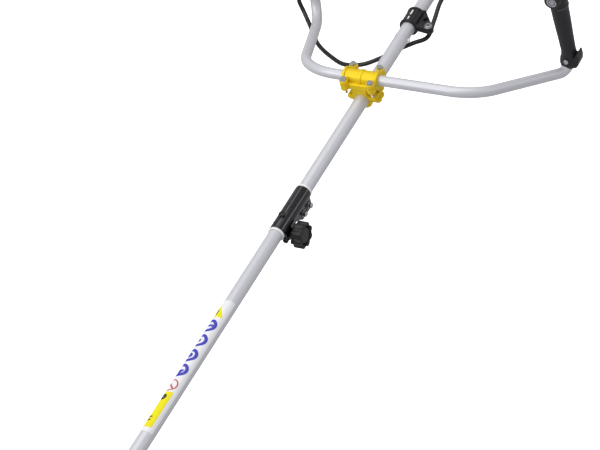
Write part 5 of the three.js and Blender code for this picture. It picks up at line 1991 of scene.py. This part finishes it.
@dataclass
class Starter:
    """The recoil starter: vented housing, pulley, rope and handle."""

    shop: Workshop
    front: float = 34.0
    rear: float = 96.0
    radius: float = 62.0
    rope_y: float = -26.0
    rope_x: float = 76.0

    def build(self) -> None:
        """Builds the housing, the pulley, the rope and the handle."""
        self.build_housing()
        pulley = self.shop.refined("starter_pulley", 0.6, 2)
        self.shop.stand_in("starter_pulley", pulley, BLACK_PLASTIC, "recoil_pulley")
        seat = self.radius + 4.3
        self.build_handle(seat)
        self.build_rope(seat)

    def build_housing(self) -> None:
        """Builds the housing with curved cooling slots, a raised hub and screws."""
        f, b, r = self.front, self.rear, self.radius
        outline = rounded(
            [(30, f), (r, f), (r, b - 12), (r - 12, b), (18, b), (16, b - 2), (0.001, b - 2), (0.001, b - 5),
             (r - 13, b - 3), (r - 3, b - 14), (r - 3, f + 4), (30, f + 4)],
            [0.8, 1.5, 7, 6, 1, 1, 0, 0, 4, 5, 1, 0.8], 4)
        shell = Solid.turned(X, outline, sides=112)
        slots = []
        for i in range(18):
            if i % 6 == 5:
                continue
            slot = Solid.block((b - 10, -2.3, 27), (b + 4, 2.3, 50), 1.6)
            slots.append(slot.turned_by(20 * i + 6, X))
        hub = Solid.rod(X, 5, b - 16, b - 3, edge=0.4, sides=32)
        guide = Solid.rod(Z, 8, r - 8, r + 4, (self.rope_x, self.rope_y), edge=1.6, sides=48)
        rim = Solid.pipe(X, r + 1.3, r - 2, f + 1, f + 6, edge=0.9, sides=112)
        ears = [
            Solid.rod(
                X, 6.5, f, f + 20, (58 * math.cos(math.radians(a)), 58 * math.sin(math.radians(a))), edge=1.2
            )
            for a in (45, 135, 225, 315)
        ]
        inside = Solid.rod(X, r - 3.2, f + 4.2, b - 16, edge=0.5, sides=96)
        ears = [ear.cut(inside) for ear in ears]
        body = shell.join(hub, guide, rim, *ears).cut(
            Solid.bore(Z, 3.2, r - 14, r + 6, (self.rope_x, self.rope_y), sides=32), *slots
        )
        self.shop.stand_in("starter_housing", body, BLACK_PLASTIC)
        screws = [
            Fasteners.cross_screw(3.8, 2.2, 6).aimed(
                (f + 20.1, 58 * math.cos(math.radians(a)), 58 * math.sin(math.radians(a))), (1, 0, 0)
            )
            for a in (45, 135, 225, 315)
        ]
        badge = Solid.rod(X, 15, b - 2.4, b - 0.6, edge=0.6, sides=64)
        self.shop.place("starter_screws", Solid.together(screws), ZINC)
        self.shop.place("starter_hub_disc", badge, YELLOW_PLASTIC)

    def build_handle(self, seat: float) -> None:
        """Builds the T-shaped pull handle with finger ridges.

        Args:
            seat: the height of the handle's foot.
        """
        x, y = self.rope_x, self.rope_y
        half = 36.0
        outline = [(0, y - half)]
        for i in range(25):
            t = i / 24
            swell = 8 - 1.1 * abs(math.sin(5 * math.pi * t)) ** 3
            end = min(1.0, 6 * t + 0.45, 6 * (1 - t) + 0.45)
            outline.append((swell * end, y - half + 2 * half * t))
        outline.append((0, y + half))
        grip = Solid.turned(Y, outline, (x, seat + 18), 48)
        waist = [(0, seat), (5.2, seat), (6, seat + 1.5), (5, seat + 8), (6, seat + 14), (0, seat + 14)]
        neck = Solid.turned(Z, waist, (x, y), 40)
        self.shop.stand_in("starter_grip", neck.join(grip), SOFT_RUBBER, "recoil_handle")

    def build_rope(self, seat: float) -> None:
        """Builds the starter rope from the guide up to the handle's foot; the real rope pays out as the
        handle is pulled, this one is fixed in place.

        Args:
            seat: the height of the handle's foot.
        """
        x, y = self.rope_x, self.rope_y
        strands = []
        low, high = self.radius - 12, seat + 1
        steps = 90
        for strand in range(3):
            line = []
            for i in range(steps + 1):
                t = i / steps
                angle = TAU * (strand / 3 + 3 * t)
                line.append(
                    Vector((x + 0.75 * math.cos(angle), y + 0.75 * math.sin(angle), low + (high - low) * t))
                )
            strands.append(Solid.swept(line, 0.95, 0, 10))
        piece = self.shop.add("starter_rope", Solid.together(strands), ROPE, crease=180)
        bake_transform(piece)


@dataclass
class Throttle:
    """The right grip: its two half shells, trigger, lock-out lever and stop switch."""

    shop: Workshop
    bottom: float = 26.0
    trigger: float = 92.0
    lock: float = 96.0
    half: float = 6.0

    def build(self) -> None:
        """Builds the grip and its controls."""
        high = self.shop.span("right_bar")[1]
        x, y, top = high.x - 10, high.y - 10, high.z
        self.build_shell(x, y, top)
        lever = self.shop.refined("throttle_trigger", 1.8, 4, 20)
        self.shop.stand_in("throttle_trigger", lever, YELLOW_PLASTIC, "trigger")
        guard = self.shop.refined("throttle_lockout", 1.5, 4, 20)
        self.shop.stand_in("throttle_lockout", guard, BLACK_PLASTIC, "lockout")
        cap = self.shop.refined("stop_switch", 1.4, 3)
        low, high = self.shop.span("stop_switch")
        ribs = [
            Solid.block(
                (low.x + 1.5, low.y - 0.7, low.z + 1.2 + 2 * i),
                (high.x - 1.5, low.y + 1, low.z + 2.2 + 2 * i), 0.3,
            )
            for i in range(3)
        ]
        self.shop.stand_in("stop_switch", cap.beside(*ribs), YELLOW_PLASTIC, "engine_switch")

    def build_shell(self, x: float, y: float, top: float) -> None:
        """Builds the two half shells, the seam between them and their screws.

        Args:
            x: the bar's middle.
            y: the bar's middle.
            top: the bar's end.
        """
        b, half = self.bottom, self.half
        profile = [
            (0, 15.4, 15.4), (2, 17, 16.6), (7, 17.6, 17.2), (16, 16.6, 16.4), (30, 16.2, 16),
            (44, 17.2, 16.8),
            (58, 17.8, 17.4), (70, 19.6, 18.6), (82, 21, 20.6), (top - b, 21, 20.6), (top - b + 4, 20.4, 20),
            (top - b + 9, 16, 15.6), (top - b + 10, 12, 12),
        ]
        ring = arc((0, 0), 1, 0, 353.7, 56)
        stem = Solid.from_rings([[(x + u * w, y + v * d, b + z) for u, v in ring] for z, w, d in profile])
        low = self.trigger - 6
        body_line = rounded(
            [(x - 24, low), (x + 22, low), (x + 22, top + 2), (x - 24, top + 2)], [10, 10, 8, 8], 6
        )
        parts = [
            Solid.slab(Y, body_line, y - 11, y + 11, 3, 4),
            Solid.rod(Z, 8.5, b + 10, b + 40, (x, y + 20), edge=1.4, sides=48),
            Solid.block((x - 5, y + 8, b + 12), (x + 5, y + 20, b + 38), 1.5),
            Solid.pipe(Z, 18.6, 12, b + 0.5, b + 4.5, (x, y), edge=1.2, sides=64),
        ]
        grooves = [
            Solid.pipe(Z, 24, 16.4, b + 24 + 7 * i, b + 25.6 + 7 * i, (x, y), edge=0.3, sides=64)
            for i in range(4)
        ]
        seam = Solid.block((x - 40, y - 0.35, b - 2), (x - 17.4, y + 0.35, top + 12), 0)
        body = stem.join(*parts).cut(
            *grooves,
            Solid.bore(Z, 10.4, b - 1, top + 0.3, (x, y), sides=64),
            Solid.bore(Z, 5.3, b - 1, b + 30, (x, y + 20), sides=32),
            Solid.block((x - 40, y - half - 0.5, b + 8), (x - 8.6, y + half + 0.5, self.trigger + 8), 0),
            Solid.block((x + 8.6, y - half - 0.5, b + 12), (x + 40, y + half + 0.5, self.lock + 8), 0),
            Solid.block((x - 6.4, y - 30, top - 18), (x + 6.4, y - 16, top - 2), 0),
            seam,
        )
        self.shop.stand_in("throttle_housing", body, BLACK_PLASTIC, crease=44)
        screws = [
            Fasteners.cross_screw(3.6, 2, 8).aimed((x + dx, y - 20.2 + dy, z), (0, -1, 0))
            for dx, dy, z in ((-14, 9, low + 8), (13, 9, low + 8), (0, 0.4, self.trigger + 10))
        ]
        self.shop.place("throttle_screws", Solid.together(screws), ZINC)


@dataclass
class Gearbox:
    """The bevel gearbox: its housing with ribs and screws, and the gears inside."""

    shop: Workshop
    tube: float = 13.25
    neck: float = 19.5
    ball: float = 30.0
    boss: float = 26.0
    boss_end: float = 34.0

    def build(self) -> None:
        """Builds the housing and dresses the gears."""
        w = self.shop
        mouth = w.span("gearbox_housing")[1].x
        turn = w.machine.inverted() @ w.head
        gear_x = turn.translation.x
        tube_end = w.span("lower_tube")[0].x - 0.3
        neck = Solid.rod(X, self.neck, gear_x, mouth, edge=1.5, sides=80)
        angles = [math.pi * i / 32 for i in range(33)]
        sphere = [(self.ball * math.sin(a), self.ball * math.cos(a)) for a in angles]
        ball = Solid.turned(Z, sphere, sides=72).shifted(gear_x)
        end = -self.boss_end
        foot = [(0.001, end), (self.boss, end), (self.boss, -14), (24, 0), (0.001, 0)]
        boss = Solid.turned(Z, rounded(foot, [0, 2, 6, 2, 0], 4), sides=80).moved(turn)
        flange = Solid.pipe(Z, 28.5, 20, -self.boss_end + 0.5, -self.boss_end + 5, edge=1.2).moved(turn)
        ear = rounded([(mouth - 36, 12), (mouth - 3, 12), (mouth - 3, 30), (mouth - 30, 30)], [1, 1, 6, 6], 5)
        rib = rounded([(gear_x + 20, 14), (mouth - 8, 17), (mouth - 8, 21.5), (gear_x + 14, 27)], 2, 3)
        ribs = [
            Solid.slab(Y, rib, -1.6, 1.6, 0.6).turned_by(a, X)
            for a in (90, 135, 225, 270)
        ]
        collar = Solid.pipe(X, 21.2, 17, mouth - 6, mouth - 1.5, edge=1.0, sides=80)
        plug = Solid.rod(Y, 6, -33, -26, (gear_x + 4, 8), edge=1, sides=40)
        body = neck.join(ball, boss, flange, Solid.slab(Y, ear, -8, 8, 1.6), collar, plug, *ribs).cut(
            Solid.bore(X, self.tube, tube_end, mouth + 1, sides=80),
            Solid.bore(X, 16, gear_x, tube_end + 0.8, sides=64),
            Solid.bore(Z, 20.5, -14, 10, sides=64).moved(turn),
            Solid.bore(Z, 7.3, -self.boss_end - 1, 0, sides=40).moved(turn),
            Solid.block((mouth - 40, -1, 0), (mouth + 1, 1, 40), 0),
            Solid.bore(Y, 2.6, -12, 12, (mouth - 15, 24), sides=24),
        )
        w.stand_in("gearbox_housing", body, BLACK_METAL, "lower_unit")
        clamp = Fasteners.socket_bolt(4.4, 4, 2.5, 19, 4).aimed((mouth - 15, -8.2, 24), (0, -1, 0))
        filler = Fasteners.hex_bolt(8.5, 4, 2.5, 4).aimed((gear_x + 4, -33.1, 8), (0, -1, 0))
        w.place("gearbox_screws", clamp.beside(filler), ZINC, "lower_unit")
        for node, carrier in (("pinion", "lower_drive"), ("output_gear", "cutting_head")):
            w.stand_in(node, w.refined(node, 0.25, 2), STEEL, carrier)


@dataclass
class CuttingHead:
    """The bump-feed head: ribbed housing, eyelets, spool, line and knob."""

    shop: Workshop
    radius: float = 52.0
    depth: float = 49.0
    line: float = 1.2

    def build(self) -> None:
        """Builds the head's pieces about its own axis."""
        flange = 39.3
        top = -flange
        low = top - self.depth
        self.build_housing(top, low)
        spool = [
            (8, top - 8), (43, top - 12.5), (43, top - 14.5), (18, top - 14.5),
            (18, top - 31), (43, top - 31), (43, top - 33), (8, top - 33),
        ]
        self.shop.stand_in(
            "spool", Solid.turned(Z, rounded(spool, 0.6, 2)), BLACK_PLASTIC, "cutting_head", on_head=True
        )
        self.build_line(top)
        self.build_knob(low)

    def build_housing(self, top: float, low: float) -> None:
        """Builds the drum with grip ribs round it, cooling fins on top and metal eyelets.

        Args:
            top: where it starts.
            low: where it ends.
        """
        r = self.radius
        outline = rounded(
            [(6.3, top), (30, top), (r - 4, top - 8), (r, top - 16), (r, low + 4), (r - 4, low), (29, low),
             (29, low + 3), (r - 5, low + 4), (r - 3, low + 6), (r - 3, top - 15), (r - 7, top - 11),
             (28, top - 4),
             (6.3, top - 4)],
            [0.5, 5, 5, 4, 2, 2, 0.8, 0.4, 0.5, 1, 3, 3, 3, 0.5], 4)
        shell = Solid.turned(Z, outline, sides=112)
        ribs = []
        for i in range(24):
            angle = 360 * (i + 0.5) / 24
            rib = Solid.block((r - 1.5, -1.8, low + 7), (r + 1.3, 1.8, top - 29), 0.8, 2)
            ribs.append(rib.turned_by(angle, Z))
        blades = []
        for i in range(8):
            blade = Solid.block((16, -1.2, top - 6), (40, 1.2, top + 0.6), 0.6, 2)
            blades.append(blade.turned_by(45 * i + 10, Z))
        keep = Solid.turned(
            Z, [(0, top + 0.9), (27, top + 0.9), (r - 2, top - 7), (r - 2, top - 20), (0, top - 20)]
        )
        blades = [blade.common(keep) for blade in blades]
        hole = Solid.bore(Y, 3.2, -r - 4, r + 4, (0, top - 21), sides=32)
        room = [(0, top - 4.1), (28, top - 4.1), (r - 7, top - 11.1), (r - 3.2, top - 15), (r - 3.2, low + 6)]
        inside = Solid.turned(Z, [*room, (0, low + 6)])
        band = Solid.pipe(Z, r + 0.9, r - 2, top - 28, top - 26, edge=0.7, sides=112)
        skirt = Solid.pipe(Z, r + 0.9, r - 2, low + 4, low + 6.5, edge=0.9, sides=112)
        trim = [part.cut(inside) for part in (band, skirt, *ribs, *blades)]
        body = shell.join(*trim).cut(hole)
        self.shop.stand_in("spool_housing", body, BLACK_PLASTIC, "cutting_head", on_head=True)
        eyelets = []
        for side in (-1, 1):
            ring = [(2.0, 0), (4.6, 0), (4.8, 0.9), (4.2, 1.6), (2.6, 1.8), (2.0, 1.2)]
            eyelet = Solid.turned(
                Y, [(radius, side * (r - 0.4 + h)) for radius, h in ring], (0, top - 21), 32
            )
            eyelets.append(eyelet)
        self.shop.place("line_eyelets", Solid.together(eyelets), ZINC, "cutting_head", on_head=True)

    def build_line(self, top: float) -> None:
        """Builds the wound line and its two trimmed tails.

        Args:
            top: where the housing starts.
        """
        z = top - 21
        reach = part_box("cutting_line")[1].y / MM
        layers = []
        for layer in range(5):
            radius = 19.6 + 2.5 * layer
            turns = 6
            line = []
            for i in range(turns * 40 + 1):
                angle = TAU * i / 40
                climb = (i / (turns * 40)) if layer % 2 == 0 else 1 - i / (turns * 40)
                line.append(
                    Vector((radius * math.cos(angle), radius * math.sin(angle), top - 29.2 + 12.9 * climb))
                )
            layers.append(Solid.swept(line, 1.15, 0, 8))
        tails = []
        for side in (-1, 1):
            path = [
                (6 * side, 30 * side, z), (3 * side, 40 * side, z), (0, 52 * side, z), (0, 90 * side, z),
                (0, 130 * side, z), (0, reach * side, z),
            ]
            tails.append(Solid.swept(smooth_route(path, 6), self.line, 0, 16))
        self.shop.stand_in(
            "cutting_line", Solid.together([*layers, *tails]), NYLON, "cutting_head", on_head=True
        )

    def build_knob(self, low: float) -> None:
        """Builds the bump knob with its worn dome and grip flutes.

        Args:
            low: where the housing ends.
        """
        corners = [
            (0.001, low + 7.5), (32, low + 7.5), (32, low + 3.3), (28, low + 3.3),
            (28, low - 4), (22, low - 14), (12, low - 18), (0.001, low - 18),
        ]
        outline = rounded(corners, [0, 0.6, 0.5, 0.6, 3, 6, 6, 0], 5)
        flutes = around(
            12, lambda a: Solid.rod(Z, 3, low - 12, low + 2, (29.6, 0), edge=1, sides=24).turned_by(a + 15, Z)
        )
        body = Solid.turned(Z, outline, sides=96).cut(*flutes)
        self.shop.stand_in("bump_knob", body, YELLOW_PLASTIC, "bump_button", on_head=True)


@dataclass
class Guard:
    """The debris guard with its stiffening ribs, its bracket bolts and the line cutter."""

    shop: Workshop
    radius: float = 180.0
    wall: float = 3.0
    spread: float = 62.0
    neck: float = 19.8

    def build(self) -> None:
        """Builds the guard and the cutter."""
        w = self.shop
        back = w.head.inverted()
        corners = [back @ v.co for v in frame["nodes"]["guard"].data.vertices]
        skirt_low = min(c.z for c in corners)
        top = -28.0
        outline = self.sector(31, self.radius, self.spread, 40)
        plate = Solid.slab(Z, outline, top - self.wall, top, 1.1, 3)
        skirt = Solid.slab(
            Z, self.sector(self.radius - self.wall, self.radius, self.spread, 56), skirt_low, top, 0.9, 2
        )
        lip = Solid.slab(
            Z, self.sector(self.radius - 1, self.radius + 2.2, self.spread, 56), skirt_low, skirt_low + 4,
            1.2, 3,
        )
        bead = Solid.slab(
            Z, self.sector(self.radius - 5, self.radius + 1.2, self.spread, 56), top - 2, top + 1.6, 1.2, 3
        )
        ribs = []
        for degrees in (-52, -34, -17, 17, 34, 52):
            rib = Solid.block((50, -1.3, top - 1), (self.radius - 4, 1.3, top + 4.5), 1.0, 2)
            ribs.append(rib.turned_by(degrees, Z))
        mid = Solid.slab(Z, self.sector(112, 115, self.spread - 4, 40), top - 1, top + 3.6, 0.9, 2)
        bracket = Solid.slab(
            Y, rounded(
                [(36, top - 1), (70, top - 1), (64, 6), (60, 14), (36, 14)], [1, 3, 6, 3, 3], 4
            ), -15, 15, 2.2, 3
        )
        spine = Solid.block((60, -1.5, top - 1), (self.radius - 4, 1.5, top + 8), 1.2, 2)
        core = Solid.bore(X, self.neck, 0, 90, sides=80)
        tilt = w.head.inverted() @ w.machine
        core = core.moved(tilt @ Matrix.Translation((w.machine.inverted() @ w.head).translation))
        body = plate.join(skirt, lip, bead, mid, bracket, spine, *ribs).cut(core)
        w.stand_in("guard", body, BLACK_PLASTIC, "lower_unit", on_head=True)
        bolts = [
            Fasteners.hex_bolt(8, 4.4, 2.5, 8).aimed((57, side * 9, 14.1), (0, 0, 1)) for side in (-1, 1)
        ]
        w.place("guard_bolts", Solid.together(bolts), ZINC, "lower_unit", on_head=True)
        cutter = w.refined("line_cutter", 0.4, 2)
        w.stand_in("line_cutter", cutter, STEEL, "lower_unit")

    def sector(self, inner: float, outer: float, spread: float, steps: int) -> list[Pair]:
        """A part of a flat ring, symmetrical about the tube's side of the head."""
        return [*arc((0, 0), outer, -spread, spread, steps), *arc((0, 0), inner, spread, -spread, steps)]


GROUPS = (
    ThrottleCable, DriveTube, Label, Coupling, HarnessClamp, Bracket, Handlebar, Throttle,
    ClutchHousing, EngineBlock, EngineCovers, FuelTank, Starter, Gearbox, CuttingHead, Guard,
)


def main() -> None:
    """Sets the room up and builds the trimmer, group by group."""
    logging.basicConfig(level=logging.INFO, format="%(name)s %(message)s")
    studio = Studio()
    studio.camera(Viewpoint())
    studio.floor()
    studio.lights()
    workshop = Workshop()
    for group in GROUPS:
        group(workshop).build()


if __name__ == "__main__":
    main()
